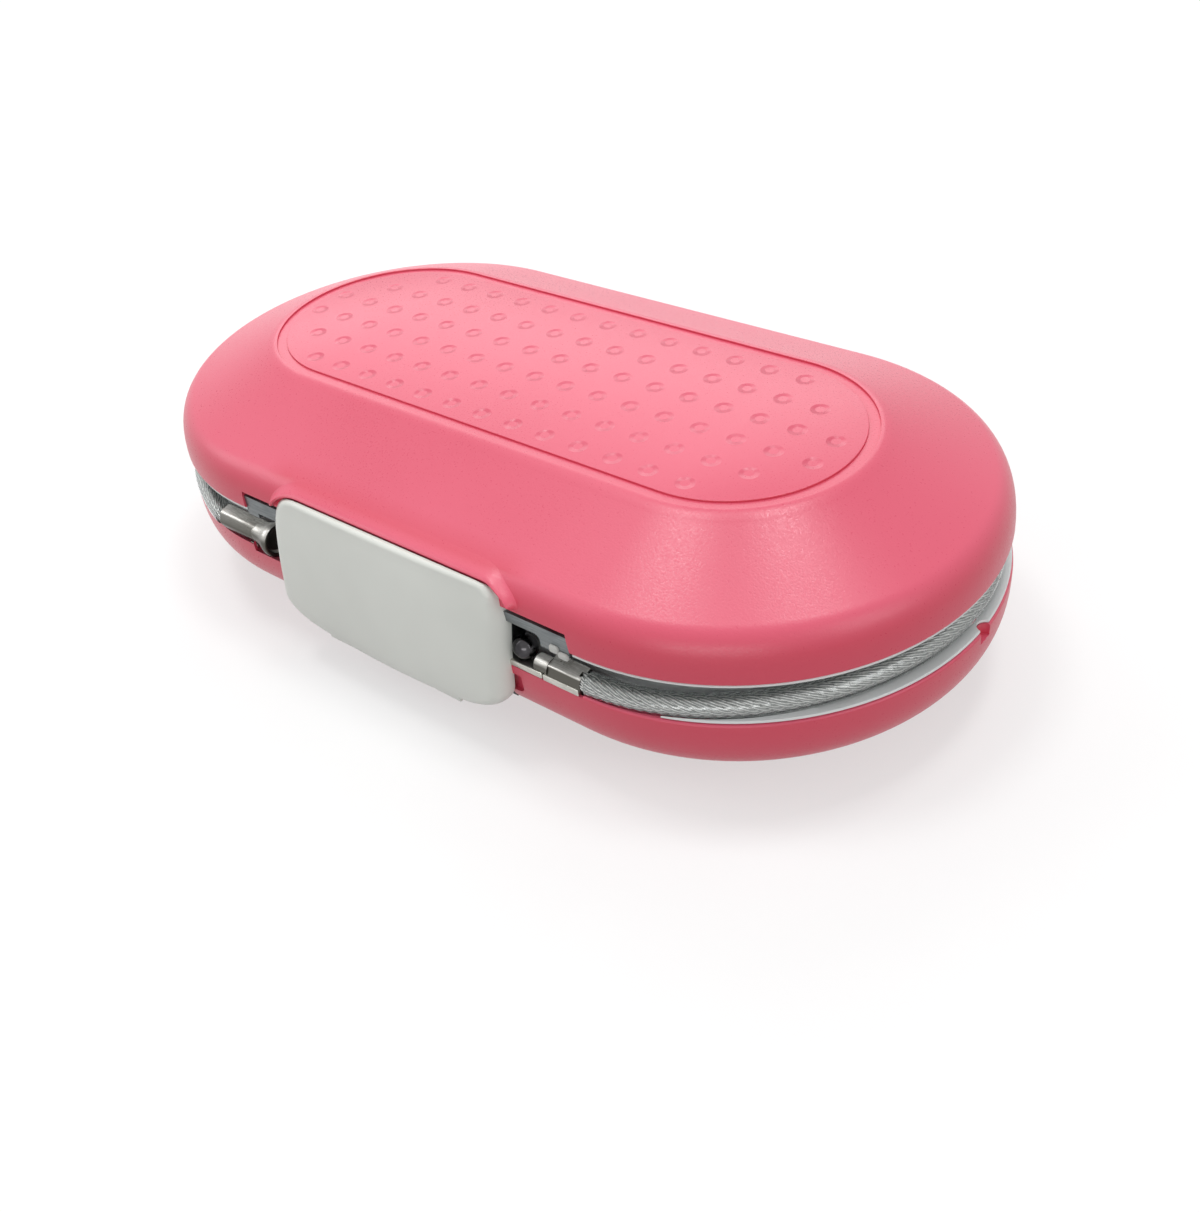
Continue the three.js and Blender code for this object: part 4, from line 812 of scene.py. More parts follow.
left_axis = [barrel_axis(x) for x in (-LEFT_BARREL_END - BARREL_ROOM, FRONT_LEFT)]
left_cradle = tube("cradle", left_axis, LEFT_CRADLE, 48)
cut(base, window, seat, front, bell_room, pocket, cable_bed(), left_cradle)
cut(base, *tip_notches(BASE_RIM_HEIGHT - NOTCH_DEPTH))

# %% [markdown]
# Hinge barrels are short bars, each on a web that runs into its own shell. The lid's hinge
# has five in a row: the base carries every other one, the lid the rest. Two lugs under the
# lock hold the cover's pin.

# %% Hinge knuckles
HINGE = (61.3, 32.9)
HINGE_RADIUS = 3.0
HINGE_BORE = 1.34
HINGE_PITCH = 9.6
HINGE_KNUCKLES = 5
KNUCKLE_GAP = 0.15
LUG = (-64.0, 12.2)
LUG_RADIUS = 1.8
LUG_BORE = 1.09
LUG_SPOTS = (-10, 10)
LUG_HALF = 3.0
LUG_BACK = -56.5


def knuckle(start, end, middle, radius, bore, depths, heights, soft):
    """A bar along X on a web, bored for a pin. depths and heights bound the web."""
    web = box("web", (start, depths[0], heights[0]), (end, depths[1], heights[1]))
    made = add(bar("knuckle", radius, start, end, middle, "x"), web)
    return rounded(cut(made, bar("bore", bore, start - 1, end + 1, middle, "x")), soft)


def hinge_spans(owner, gap):
    """Where every other one of the hinge's places starts and ends, less a gap at both ends."""
    starts = [(i - HINGE_KNUCKLES / 2) * HINGE_PITCH for i in range(owner, HINGE_KNUCKLES, 2)]
    return [(start + gap, start + HINGE_PITCH - gap) for start in starts]


def hinge_knuckles(owner, foot):
    shape = (HINGE, HINGE_RADIUS, HINGE_BORE)
    depths, heights = (HINGE[0] - 1, HINGE[0] + HINGE_RADIUS), sorted((HINGE[1], foot))
    return [knuckle(a, b, *shape, depths, heights, 0.25) for a, b in hinge_spans(owner, KNUCKLE_GAP)]


def pin_knuckles(spots, half, depths, top):
    """Knuckles round the cover's pin."""
    heights = (LUG[1] - LUG_RADIUS, top)
    places = [(LOCK_X + spot - half, LOCK_X + spot + half) for spot in spots]
    return [knuckle(a, b, LUG, LUG_RADIUS, LUG_BORE, depths, heights, 0.2) for a, b in places]


lugs = pin_knuckles(LUG_SPOTS, LUG_HALF, (LUG[0], LUG_BACK), LOCK_BOTTOM - 0.3)
attach(base, *hinge_knuckles(0, BASE_RIM_HEIGHT - 5), *lugs)
dress(base, pink, "base", "pink_plastic", "base_shell")

# %% [markdown]
# The lid. Its flat panel is ringed by a shallow channel, which is simply a step in the
# swept profile. The opening over the cable's ends is cut with a leaning right end, as the
# real one has. The channel's walls are half a millimetre high: seen at a slant they are
# the thin dark red line round the panel.

# %% Lid shell
CHANNEL = (30.5, 33.1)
CHANNEL_DEPTH = 0.55
PLATE_LEFT = 53.7
PLATE_RIGHT = 55.5
PLATE_LEAN = 1.4
PLATE_TOP = 43.2
LOCK_ROOM_TOP = 43.3
LID_CUT_BACK = -59.0


def lid_profile():
    """The lid's wall as (radius, height), with the panel's channel and rounded edges."""
    wall = shell_profile(lid_skin, SHELL_WALL, 0.45, 0.3)
    inner, outer = CHANNEL
    channel = [(0, 0), (inner - 0.25, 0), (inner - 0.07, 0.07), (inner, 0.25), (inner, CHANNEL_DEPTH)]
    channel += [(outer, CHANNEL_DEPTH), (outer, 0.2), (outer + 0.08, 0.05), (FACE_RADIUS + 0.1, 0.02)]
    crown = bend((FACE_RADIUS + 0.1, 0.02), (FACE_RADIUS + 1.6, 0.3), (FACE_RADIUS + 4, 1.64), 5)
    return [(r, BODY_HEIGHT - d) for r, d in channel + crown + wall[2:]]


lid = racetrack("lid_shell_skin", lid_profile())
opening_outline = [(-PLATE_LEFT, LID_RIM_HEIGHT - OVER), (-PLATE_LEFT, PLATE_TOP)]
opening_outline += [(PLATE_RIGHT - PLATE_LEAN, PLATE_TOP), (PLATE_RIGHT + 1.4, LID_RIM_HEIGHT - OVER)]
lock_room = box("room", (room_left, -RIM - OVER, 0), (room_right, LID_CUT_BACK, LOCK_ROOM_TOP))
cut(lid, prism("opening", opening_outline, -RIM - OVER, LID_CUT_BACK, "y"), lock_room)

# %% [markdown]
# The brow is the raised lip that follows the cover's top edge. It is a loft: a ridge whose
# height depends on the distance from the cover's outline, laid on the lid's own surface, so
# its foot runs out into the lid without a seam. The cover's left corner is the rounder one.
# At the right corner the brow swings out wider than the cover does.

# %% The cover's outline, and the brow that follows it
COVER_HALF = 39.0
COVER_TOP = 48.0
COVER_LOW = 8.7
COVER_FOOT_RISE = 7.0
TOP_CORNERS = {-1: 11.0, 1: 7.8}
BROW_CORNERS = {-1: 10.5, 1: 5.5}
LOW_CORNER = 10.0
BROW_FACE = ((0.0, -2.2), (0.0, 1.7), (0.1, 2.05), (0.3, 2.3), (0.6, 2.35))
BROW_FLANK = ((0.9, 2.15), (1.15, 1.7), (1.4, 1.1), (1.65, 0.6), (1.95, 0.2), (2.4, -0.1))
BROW_STEPS = BROW_FACE + BROW_FLANK
BROW_GAP = 0.3
BROW_END = 43.6
BROW_FADE = 1.6
BROW_SWING = 2.4
BROW_SWING_RUN = 9
BROW_NARROWING = 0.35


def cover_half_line(side, low, foot, toe, top, corner, steps):
    """The right half of the cover's outline, from the middle of its foot up to its top."""
    line = [(0, low)]
    line += bend(line[-1], (side * 0.45, low), (side - toe, foot - toe * 0.35), steps)
    heel = foot + toe * 0.5
    line += bend(line[-1], (side, foot), (side, heel), steps)
    line += [(side, heel + (top - corner - heel) * i / steps) for i in range(1, steps + 1)]
    line += bend(line[-1], (side, top), (side - corner, top), steps)
    return line


def cover_outline(grow=0.0, steps=14, corners_on_top=TOP_CORNERS):
    """The whole outline seen from the front, moved outwards by grow, anticlockwise."""
    side, low, high = COVER_HALF + grow, COVER_LOW - grow, COVER_TOP + grow
    foot, toe = low + COVER_FOOT_RISE, LOW_CORNER + grow
    right, left = (
        cover_half_line(side, low, foot, toe, high, corners_on_top[end] + grow, steps) for end in (1, -1)
    )
    left = [(-x, z) for x, z in reversed(left[1:])]
    top = [(right[-1][0] + (left[0][0] - right[-1][0]) * i / 40, high) for i in range(1, 40)]
    return [(LOCK_X + x, z) for x, z in right + top + left]


def skin_radius(height):
    """How far the lid's front lies from the middle, at a height."""
    depth = BODY_HEIGHT - height
    for (r0, d0), (r1, d1) in zip(lid_skin[1:], lid_skin[2:]):
        if d0 <= depth <= d1 and d1 > d0:
            return r0 + (r1 - r0) * (depth - d0) / (d1 - d0)
    return LID_RIM


def brow():
    """The ridge along the cover's top, laid on the lid's skin and fading at both ends."""
    line = [p for p in cover_outline(BROW_GAP, 20, BROW_CORNERS) if p[1] >= BROW_END]
    points, size = [], len(BROW_STEPS)
    for j, (x, z) in enumerate(line):
        back, ahead = Vector(line[max(j - 1, 0)]), Vector(line[min(j + 1, len(line) - 1)])
        run = (ahead - back).normalized()
        out = Vector((run.y, -run.x))
        right = ease(max(0.0, 1 + (x - LOCK_X - COVER_HALF) / BROW_SWING_RUN))
        fall = ease((z - BROW_END) / BROW_FADE + 0.25)
        shift = BROW_SWING * right * ease((COVER_TOP - z) / 4)
        for away, raised in BROW_STEPS:
            spot = Vector((x, z)) + out * (away * (1.0 - BROW_NARROWING * right) + shift)
            lift = raised * (fall if raised > 0 else 1.0)
            points.append((spot.x, -skin_radius(spot.y) - lift, spot.y))
    return raw("brow", points, quads(len(line), size) + caps(len(line), size))


attach(lid, *hinge_knuckles(1, LID_RIM_HEIGHT + 5), brow())
dress(lid, pink, "lid", "pink_plastic", "lid_shell")

# %% [markdown]
# The liners are the grey trays inside the halves. Only their flanges and the groove wall
# show when the box is shut, and the whole trays when it is open, so they are swept and cut
# like the CAD nodes: a pocket at the back for the cable, a screen round the lock at the
# front, slots for the hinge webs and, in the base, a gap under the cable's ends.

# %% Liners
UNDER = 2.7
LINER_WALL = 2.0
GROOVE_WALL = 57.0
LINER_INNER = 55.0
FLANGE = 0.7
FLANGE_INSET = 0.4
GAP = 0.3
POCKET_X = 53.8
POCKET_Y = 51.8
PARTING = 32.9
FLANGE_RUN = 76.2
SCREEN_ROOM = 1.9
SCREEN_WALL = 2
SLOT_DEPTH = 1.3
PLATE_ROOM_TOP = 45.4


def liner(name, rim, shoulder, depth, parting, place):
    """A tray, drawn by depth below its half's flat face. place turns depth into height."""
    slope = SHOULDER_DROP / (shoulder - FACE_RADIUS)
    lean = math.hypot(1, slope)
    over = UNDER + LINER_WALL

    def cone_depth(radius, thickness):
        return slope * (radius - FACE_RADIUS) + thickness * lean

    def cone_radius(d, thickness):
        return FACE_RADIUS + (d - thickness * lean) / slope

    flange_low, flange_high = depth + GAP, depth + GAP + FLANGE
    edge = rim - FLANGE_INSET
    floor = [(0, UNDER), (cone_radius(UNDER, UNDER), UNDER), (GROOVE_WALL, cone_depth(GROOVE_WALL, UNDER))]
    wall = [(GROOVE_WALL, flange_low), (edge - 0.15, flange_low), (edge, flange_low + 0.15)]
    wall += [(edge, flange_high - 0.2), (edge - 0.2, flange_high), (GROOVE_WALL, flange_high)]
    wall += [(GROOVE_WALL, parting), (LINER_INNER, parting), (LINER_INNER, cone_depth(LINER_INNER, over))]
    wall += [(cone_radius(over, over), over), (0, over)]
    tray = racetrack(name, [(r, place(d)) for r, d in floor + wall])
    solid = [(r, place(d)) for r, d in floor + [(GROOVE_WALL, parting), (0, parting)]]

    def slab(x, y, d0, d1):
        low, high = sorted((place(d0), place(d1)))
        return box("slab", (-x, y[0], low), (x, y[1], high))

    def pocket():
        return slab(POCKET_X, (POCKET_Y, RIM), flange_high, BODY_HEIGHT)

    def lock_block(wall):
        """The lock's room in the tray, grown by a wall."""
        half = LOCK_HALF + SCREEN_ROOM + wall
        return box("room", (LOCK_X - half, -RIM - OVER, 0), (LOCK_X + half, wall - RECESS_BACK, BODY_HEIGHT))

    cut(tray, pocket())
    back_wall = slab(POCKET_X + LINER_WALL, (POCKET_Y - LINER_WALL, GROOVE_WALL), flange_low, parting)
    screen = lock_block(SCREEN_WALL)
    for part in (back_wall, screen):
        combine(part, racetrack("envelope", solid), "INTERSECT")
    cut(back_wall, pocket())
    ledge = slab(POCKET_X + LINER_WALL, (POCKET_Y - LINER_WALL / 2, edge), flange_low, flange_high)
    return cut(add(tray, back_wall, ledge, screen), lock_block(0))


def hinge_slots(owner, low, high):
    front, back = HINGE[0] - SLOT_DEPTH, RIM + OVER
    return [box("slot", (a, front, low), (b, back, high)) for a, b in hinge_spans(owner, -KNUCKLE_GAP)]


def from_top(depth):
    return BODY_HEIGHT - depth


groove_floor = BASE_RIM_HEIGHT + GAP + FLANGE
base_parting = PARTING - GAP / 2
base_tray = liner("base_liner_tray", RIM, BASE_SHOULDER, BASE_RIM_HEIGHT, base_parting, lambda depth: depth)
front_gap = box("gap", (-FLANGE_RUN, -RIM - OVER, 0), (FLANGE_RUN, -GROOVE_WALL, groove_floor + 0.5))
cut(base_tray, front_gap, cable_bed(), *hinge_slots(0, BASE_RIM_HEIGHT, groove_floor + 0.5))
cut(base_tray, *tip_notches(BASE_RIM_HEIGHT - NOTCH_DEPTH))
dress(base_tray, liner_grey, "base", "grey_liner", "base_liner")

lid_depth, lid_parting = from_top(LID_RIM_HEIGHT), from_top(PARTING) - GAP / 2
lid_tray = liner("lid_liner_tray", LID_RIM, LID_SHOULDER, lid_depth, lid_parting, from_top)
plate_room = box("room", (-PLATE_LEFT, -RIM - OVER, 0), (PLATE_RIGHT, -GROOVE_WALL, PLATE_ROOM_TOP))
cut(lid_tray, plate_room, *hinge_slots(1, LID_RIM_HEIGHT - 1.5, LID_RIM_HEIGHT))
dress(lid_tray, liner_grey, "lid", "grey_liner", "lid_liner")

# %% [markdown]
# The cover is one soft slab. Its front is a grid over the outline whose rows bunch up at
# the edges: every point falls back with its distance from the outline along a quarter
# circle, which rounds the slab all round. A skirt runs back from the edge, and a
# solidify modifier gives the wall.

# %% Dial cover
COVER_WALL = 2.1
COVER_FRONT = (
    (8.7, 67.9), (10.5, 69.7), (13.0, 70.7), (17.0, 71.05),
    (29.0, 69.7), (38.0, 68.1), (44.0, 66.6), (48.0, 65.4),
)
COVER_BOW = 0.8
EDGE_RADIUS = {"side": 4.6, "top": 0.9, "foot": 2.6}
SKIRT_END = -64.0
COVER_COLUMNS = 96
COVER_ROWS = 56


def along_table(table, place):
    """A smooth reading of a table of (place, value)."""
    for (a, va), (b, vb) in zip(table, table[1:]):
        if place <= b:
            return va + (vb - va) * max(0.0, (place - a) / (b - a))
    return table[-1][1]


def cover_front(x, z):
    """How far the slab's front stands out before its edges are rounded."""
    across = (x - LOCK_X) / COVER_HALF
    smooth = sum(along_table(COVER_FRONT, z + step) for step in (-3, -1.5, 0, 1.5, 3)) / 5
    return smooth - COVER_BOW * across * across


def edge_fall(x, z, outline):
    """How far a point of the front falls back because the slab's edge is round."""
    spot = Vector((x, z))
    best, share = math.inf, 0.0
    for p, q in zip(outline, outline[1:] + outline[:1]):
        a, b = Vector(p), Vector(q)
        t = max(0.0, min(1.0, (spot - a).dot(b - a) / max((b - a).length_squared, 1e-9)))
        away = (spot - a.lerp(b, t)).length
        if away < best:
            best, share = away, (b - a).normalized().x
    radius = EDGE_RADIUS["side"]
    radius += (EDGE_RADIUS["top" if share < 0 else "foot"] - radius) * share * share
    if best >= radius:
        return 0.0
    return radius - math.sqrt(radius * radius - (radius - best) ** 2)


def spread(share):
    """0 to 1, with the steps bunched at both ends."""
    return (1 - math.cos(math.pi * share)) / 2


def cover_reach(outline, x):
    """The outline's lowest and highest z at one x."""
    found = []
    for (x0, z0), (x1, z1) in zip(outline, outline[1:] + outline[:1]):
        if min(x0, x1) - 1e-9 <= x <= max(x0, x1) + 1e-9:
            if abs(x1 - x0) < 1e-9:
                found += [z0, z1]
            else:
                found.append(z0 + (z1 - z0) * (x - x0) / (x1 - x0))
    return min(found), max(found)


def body_front(z):
    """How far back the skirt ends, just clear of the case behind it."""
    if z >= LID_RIM_HEIGHT:
        return skin_radius(z) + 0.4
    return RIM + (1.6 if z < 17 else 0.5)


def cover_slab():
    outline = cover_outline()
    points, faces = [], []
    for i in range(COVER_COLUMNS + 1):
        x = LOCK_X + COVER_HALF * (2 * spread(i / COVER_COLUMNS) - 1)
        low, high = cover_reach(outline, x)
        for j in range(COVER_ROWS + 1):
            z = low + (high - low) * spread(j / COVER_ROWS)
            points.append((x, edge_fall(x, z, outline) - cover_front(x, z), z))
    rows = COVER_ROWS + 1
    for i in range(COVER_COLUMNS):
        for j in range(COVER_ROWS):
            faces.append((i * rows + j, (i + 1) * rows + j, (i + 1) * rows + j + 1, i * rows + j + 1))
    rim = [i * rows for i in range(COVER_COLUMNS + 1)]
    rim += [COVER_COLUMNS * rows + j for j in range(1, rows)]
    rim += [i * rows + COVER_ROWS for i in range(COVER_COLUMNS - 1, -1, -1)]
    rim += [j for j in range(COVER_ROWS - 1, 0, -1)]
    first = len(points)
    for step in (0.5, 1.0):
        for index in rim:
            x, y, z = points[index]
            end = min(-body_front(z), SKIRT_END)
            points.append((x, y + (max(end, y + 0.2) - y) * step, z))
    count = len(rim)
    for k in range(count):
        n = (k + 1) % count
        faces.append((rim[k], first + k, first + n, rim[n]))
        faces.append((first + k, first + count + k, first + count + n, first + n))
    return raw("dial_cover_slab", points, faces)


cover = cover_slab()
wall = cover.modifiers.new("wall", "SOLIDIFY")
wall.thickness = COVER_WALL * MM
wall.offset = -1
wall.use_quality_normals = True
settle(cover)

# %% [markdown]
# Two tabs behind the cover's foot end in barrels round the hinge pin.

# %% Cover knuckles
COVER_KNUCKLES = (-19, 19)
COVER_KNUCKLE_HALF = 4.0
TAB_FRONT = -68.9

attach(cover, *pin_knuckles(COVER_KNUCKLES, COVER_KNUCKLE_HALF, (TAB_FRONT, LUG[0]), LUG[1] + 0.6))
dress(cover, cover_white, "cover", "cover_plastic", "dial_cover")

# %% [markdown]
# Six strands wind round the cable's line. Each is a thin tube whose middle circles the
# line once per lay, and its coordinates run along and round it for the wires' bump.

# %% Rope and jacket meshes
STRAND_RADIUS = 0.78
STRAND_ORBIT = 1.52
JACKET_RADIUS = 2.8

line_frames = carried_frames(cable_line)
step_length = (cable_line[1] - cable_line[0]).length
strands = []
for k in range(STRANDS):
    strand_line = []
    for i, (middle, (side, up)) in enumerate(zip(cable_line, line_frames)):
        turn = math.tau * (k / STRANDS + i * step_length / STRAND_LAY)
        out = side * math.cos(turn) + up * math.sin(turn)
        strand_line.append(middle + out * STRAND_ORBIT)
    strands.append(tube("strand", strand_line, STRAND_RADIUS, 10, "strand"))
core = tube("cable_rope_strands", cable_line, STRAND_ORBIT - 0.5, 8, "strand")
rope = attach(core, *strands)
dress(rope, rope_steel, "base", "rope_steel", "cable_rope", sharp=math.radians(80))

bare = (-LEFT_BARREL_END - BARREL_ROOM, BARREL_END + BARREL_ROOM)
jacket_line = [p for p in cable_line if p.y > 0 or not bare[0] < p.x < bare[1]]
jacket = tube("cable_jacket_skin", jacket_line, JACKET_RADIUS, 32, "strand")
dress(jacket, clear_pvc, "base", "clear_jacket", "cable_jacket", sharp=math.radians(60))

# %% [markdown]
# Each cable end is crimped into a barrel. The die has six sides and doesn't close quite
# evenly, so the section is written as six corners round the axis, extruded and softened.
# On the right a neck and a flat tongue lead into the lock. On the left the barrel flares
# into a bell with a dished end, and leans a little: it is made straight and then sheared.

# %% Crimped barrels
FITTING = (FITTING_Y, FITTING_Z)
CRIMP = ((-1.9, 1.9), (2.0, 2.6), (3.1, 0.3), (1.8, -2.4), (-1.7, -3.0), (-2.7, -0.7))
LEFT_CRIMP = ((-1.7, 2.6), (1.7, 3.1), (3.3, 0.4), (1.8, -2.7), (-1.7, -2.9), (-3.0, -0.4))
BARREL_START = 47.2
NECK = (43.1, 2.15)
TONGUE = ((32.2, -65.1, 27.0), (46.0, -62.0, 28.6))


def crimped(name, section, start, end, soft):
    """A barrel pressed to six sides. section is measured from its axis."""
    outline = [(FITTING_Y + y, FITTING_Z + z) for y, z in section]
    return rounded(prism(name, outline, start, end, "x"), soft, 4)


right = crimped("ferrule_right_crimped", CRIMP, BARREL_START, BARREL_END - 0.4, 0.35)
cut(right, bar("mouth", 2.3, BARREL_END - 1.4, BARREL_END + 1, FITTING, "x"))
start, radius = NECK
neck_line = [(start, radius - 0.4), (start + 0.4, radius)]
neck_line += [(BARREL_START - 0.6, radius), (BARREL_START + 0.3, radius + 0.3)]
neck = turned("neck", neck_line, (FITTING_Y - 0.3, FITTING_Z), "x", 48)
dress(attach(right, neck), barrel_steel, "base", "ferrule_steel", "ferrule_right")
dress(rounded(box("ferrule_right_tongue", *TONGUE), 0.4), fitting_steel, "base", "ferrule_steel")

BELL = (
    (-54.6, 2.8), (-53.6, 3.0), (-52.6, 3.2), (-51.6, 3.45), (-50.7, 3.8), (-50.0, 4.15),
    (-49.4, 4.45), (-48.9, 4.62), (-48.4, 4.68), (-47.9, 4.68), (-47.66, 4.6), (-47.55, 4.4),
    (-47.55, 3.7), (-47.65, 3.45), (-48.3, 3.25), (-48.5, 3.0), (-48.5, 0.1),
)


def leaned(made):
    """Moves a piece that was made along X onto the left barrel's own axis."""
    for vertex in made.data.vertices:
        shift = barrel_axis(vertex.co.x / MM) - Vector((0, FITTING_Y, FITTING_Z))
        vertex.co += Vector((0, shift.y, shift.z)) * MM
    return made


left = crimped("ferrule_left_crimped", LEFT_CRIMP, -LEFT_BARREL_END, -52.6, 0.6)
attach(left, turned("bell", BELL, FITTING, "x", 72))
dress(leaned(left), barrel_steel, "base", "ferrule_steel", "ferrule_left")

# %% [markdown]
# The ball beside the lock is polished and dark, so nearly everything on it is reflection.
# The cable's seats keep their CAD forms with softer edges, cut back behind the base's wall.
# The right one has a lip that stands before it.

# %% Lock ball and cable seats
BALL_RADIUS = 3.05
BALL = [(low + high) / 2 for low, high in zip(*corners("lock_ball"))]

ball_line = arc((BALL[0], 0), BALL_RADIUS, 179, 1, 40)
ball = turned("lock_ball_polished", ball_line, BALL[1:], "x", 72)
dress(ball, ball_chrome, "base", "ball_chrome", "lock_ball")


FINE_SHARP = math.radians(40)
LIP = ((46.3, -65.1, 27.0), (56.5, -63.7, 28.7))


def softened(node, width, *trims):
    """A CAD node's own form, with its flat faces merged, trimmed and its edges rounded."""
    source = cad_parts[node].data
    points = [v.co / MM for v in source.vertices]
    made = raw(node + "_fine", points, [list(p.vertices) for p in source.polygons])
    work = bmesh.new()
    work.from_mesh(made.data)
    bmesh.ops.dissolve_limit(work, angle_limit=math.radians(1), verts=work.verts, edges=work.edges)
    work.to_mesh(made.data)
    work.free()
    return rounded(cut(made, *trims), width, 3, 40)


def refined(node, finish, body, slot, width):
    return dress(softened(node, width), finish, body, slot, node, sharp=FINE_SHARP)


for node in ("cable_seat_left", "cable_seat_right"):
    front_trim = box("trim", (-RIM, -RIM - OVER, 20), (RIM, SEAT_FRONT, 30))
    cable_seat = softened(node, 0.2, front_trim)
    if node == "cable_seat_right":
        low, high = LIP
        web = box("web", (low[0], SEAT_FRONT, corners(node)[1].z - 0.2), high)
        attach(cable_seat, rounded(add(box("lip", low, high), web), 0.2))
    dress(cable_seat, fitting_steel, "base", "steel", node, sharp=FINE_SHARP)

# %% [markdown]
# The lid's plate is bent from one steel sheet: a strap along the top, a web back over the
# lock, and an ear over each barrel. The right ear is cut to an arch round the ball and
# carries a pair of pale stops; the left one makes room for the bell.

# %% Plate in the lid
EAR_LINE = (
    (-63.8, 36.2), (-62.5, 36.2), (-62.5, 40.5), (-59.1, 40.5),
    (-59.1, 45.4), (-60.5, 45.4), (-60.5, 41.9), (-63.8, 41.9),
)
PLATE_ENDS = (-53.9, 54.4)
EAR_INNER = 36.4
STRAP = (-60.5, -59.1)
WEB_HEIGHTS = (44.0, 45.4)
WEB_BACK = -49.2
BALL_WINDOW = ((LOCK_X + EAR_INNER - 1, 34.0), (46.1, 39.2))
WINDOW_CORNER = 1.6
BELL_SLOT = ((-49.6, -70, 33.4), (LOCK_X, STRAP[0], 37.6))
LATCH_DEPTHS = (-52.0, -49.8)
STRIKES = (-20.3, 11.7)
LID_SCREWS = [(LOCK_X + side * 28, -54.5) for side in (-1, 1)]

low, high = WEB_HEIGHTS
plate = box("lid_lock_plate_bent", (PLATE_ENDS[0], STRAP[0], low), (PLATE_ENDS[1], STRAP[1], high))
add(plate, box("web", (LOCK_X - LOCK_HALF + 1, STRAP[0], low), (LOCK_X + LOCK_HALF - 1, WEB_BACK, high)))
add(plate, prism("ear", EAR_LINE, LOCK_X + EAR_INNER, PLATE_ENDS[1], "x"))
add(plate, prism("ear", EAR_LINE, PLATE_ENDS[0], LOCK_X - EAR_INNER, "x"))
(left_edge, sill), (right_edge, head) = BALL_WINDOW
window_corner = (right_edge - WINDOW_CORNER, head - WINDOW_CORNER)
window_line = [(left_edge, sill), (right_edge, sill)]
window_line += [*arc(window_corner, WINDOW_CORNER, 0, 90, 10), (left_edge, head)]
cut(plate, prism("window", window_line, -70, STRAP[0], "y"), box("slot", *BELL_SLOT))
cut(plate, *(bar("hole", 1.5, low - 2, high + 2, spot, "z", 32) for spot in LID_SCREWS))
for x in STRIKES:
    add(plate, box("strike", (x, LATCH_DEPTHS[0], low - 2.1), (x + 2, LATCH_DEPTHS[1], low + 0.5)))
rounded(plate, 0.18, 3, 40)
dress(plate, plate_steel, "lid", "dark_steel", "lid_lock_plate", sharp=FINE_SHARP)

STOPS = (((48.9, 51.5), (36.2, 38.3)), ((51.3, 54.2), (35.4, 37.2)))
for number, ((start, end), (low, high)) in enumerate(STOPS, 1):
    stop = rounded(box(f"lid_plate_stop_{number}", (start, -64.5, low), (end, -62.8, high)), 0.6, 4)
    dress(stop, stop_grey, "lid", "dark_steel")

# %% [markdown]
# Six screws hold the lock and the lid's plate. One profile is turned for all: a domed head
# and a threaded shank. A straight slot is cut across the head.

# %% Screws
HEAD_HEIGHT = 1.4
THREAD_STEP = 0.6


def screw(node, middle, seat, length, towards, axis, shank, head, body):
    """A slotted screw. Its head lies before the seat and its shank runs past it."""
    line = [(-HEAD_HEIGHT, 0.1), (-HEAD_HEIGHT, head * 0.62), (-HEAD_HEIGHT * 0.86, head * 0.86)]
    line += [(-HEAD_HEIGHT * 0.55, head), (-0.05, head), (0, head * 0.96), (0, shank)]
    for i in range(1, int(length / THREAD_STEP)):
        line += [(THREAD_STEP * i - 0.3, shank), (THREAD_STEP * i - 0.1, shank * 0.86)]
    line += [(length - 0.3, shank), (length, shank * 0.7)]
    placed = [(seat + towards * along, radius) for along, radius in line]
    made = turned(node + "_slotted", placed, middle, axis, 40)
    a, b = middle
    slot = [(a + u * head * 2, b + v * head * 0.14) for u, v in ((-1, -1), (1, -1), (1, 1), (-1, 1))]
    start, end = sorted((seat - towards * (HEAD_HEIGHT + 1), seat - towards * HEAD_HEIGHT * 0.5))
    cut(made, prism("slot", slot, start, end, axis))
    dress(made, turned_steel, body, "steel", node)


for side, name in ((-1, "left"), (1, "right")):
    screw("chassis_screw_" + name, (LOCK_X + side * 29, -50.0), 14.5, 4.0, -1, "z", 1.2, 2.4, "base")
    screw("face_plate_screw_" + name, (LOCK_X + side * 33.5, 37.4), -61.9, 5.6, 1, "y", 0.8, 1.6, "base")
    screw("lid_plate_screw_" + name, LID_SCREWS[side > 0], 43.7, 4.6, 1, "z", 1.2, 2.4, "lid")

# %% [markdown]
# A dial is a short drum with ten finger grips and ten raised digits. The grips are shallow
# waves in the outline that is extruded; the digits are text, turned into a mesh and then
# bent round the drum point by point. Plain digits name nobody, so they can be shown.

# %% Dials
DIAL_PITCH = 10
DIAL_PLACES = [LOCK_X - 24 + DIAL_PITCH * i for i in range(4)]
DIAL_AXIS = (-54.6, 27.0)
DIAL_RADIUS = 8.0
DIAL_HALF = 3.2
DIAL_BORE = 4.3
DIGITS = 10
GRIP_DEPTH = 0.7
GRIP_SPREAD = 9.0
DIGIT_SIZE = 3.6
DIGIT_RAISE = 0.12


def dial_outline(steps=240):
    line = []
    for i in range(steps):
        turn = 360 * i / steps
        away = abs(turn % 36 - 18)
        dip = GRIP_DEPTH * 0.5 * (1 + math.cos(math.pi * min(1, away / GRIP_SPREAD)))
        radius = DIAL_RADIUS - dip
        turn = math.radians(turn)
        line.append((DIAL_AXIS[0] + radius * math.cos(turn), DIAL_AXIS[1] + radius * math.sin(turn)))
    return line


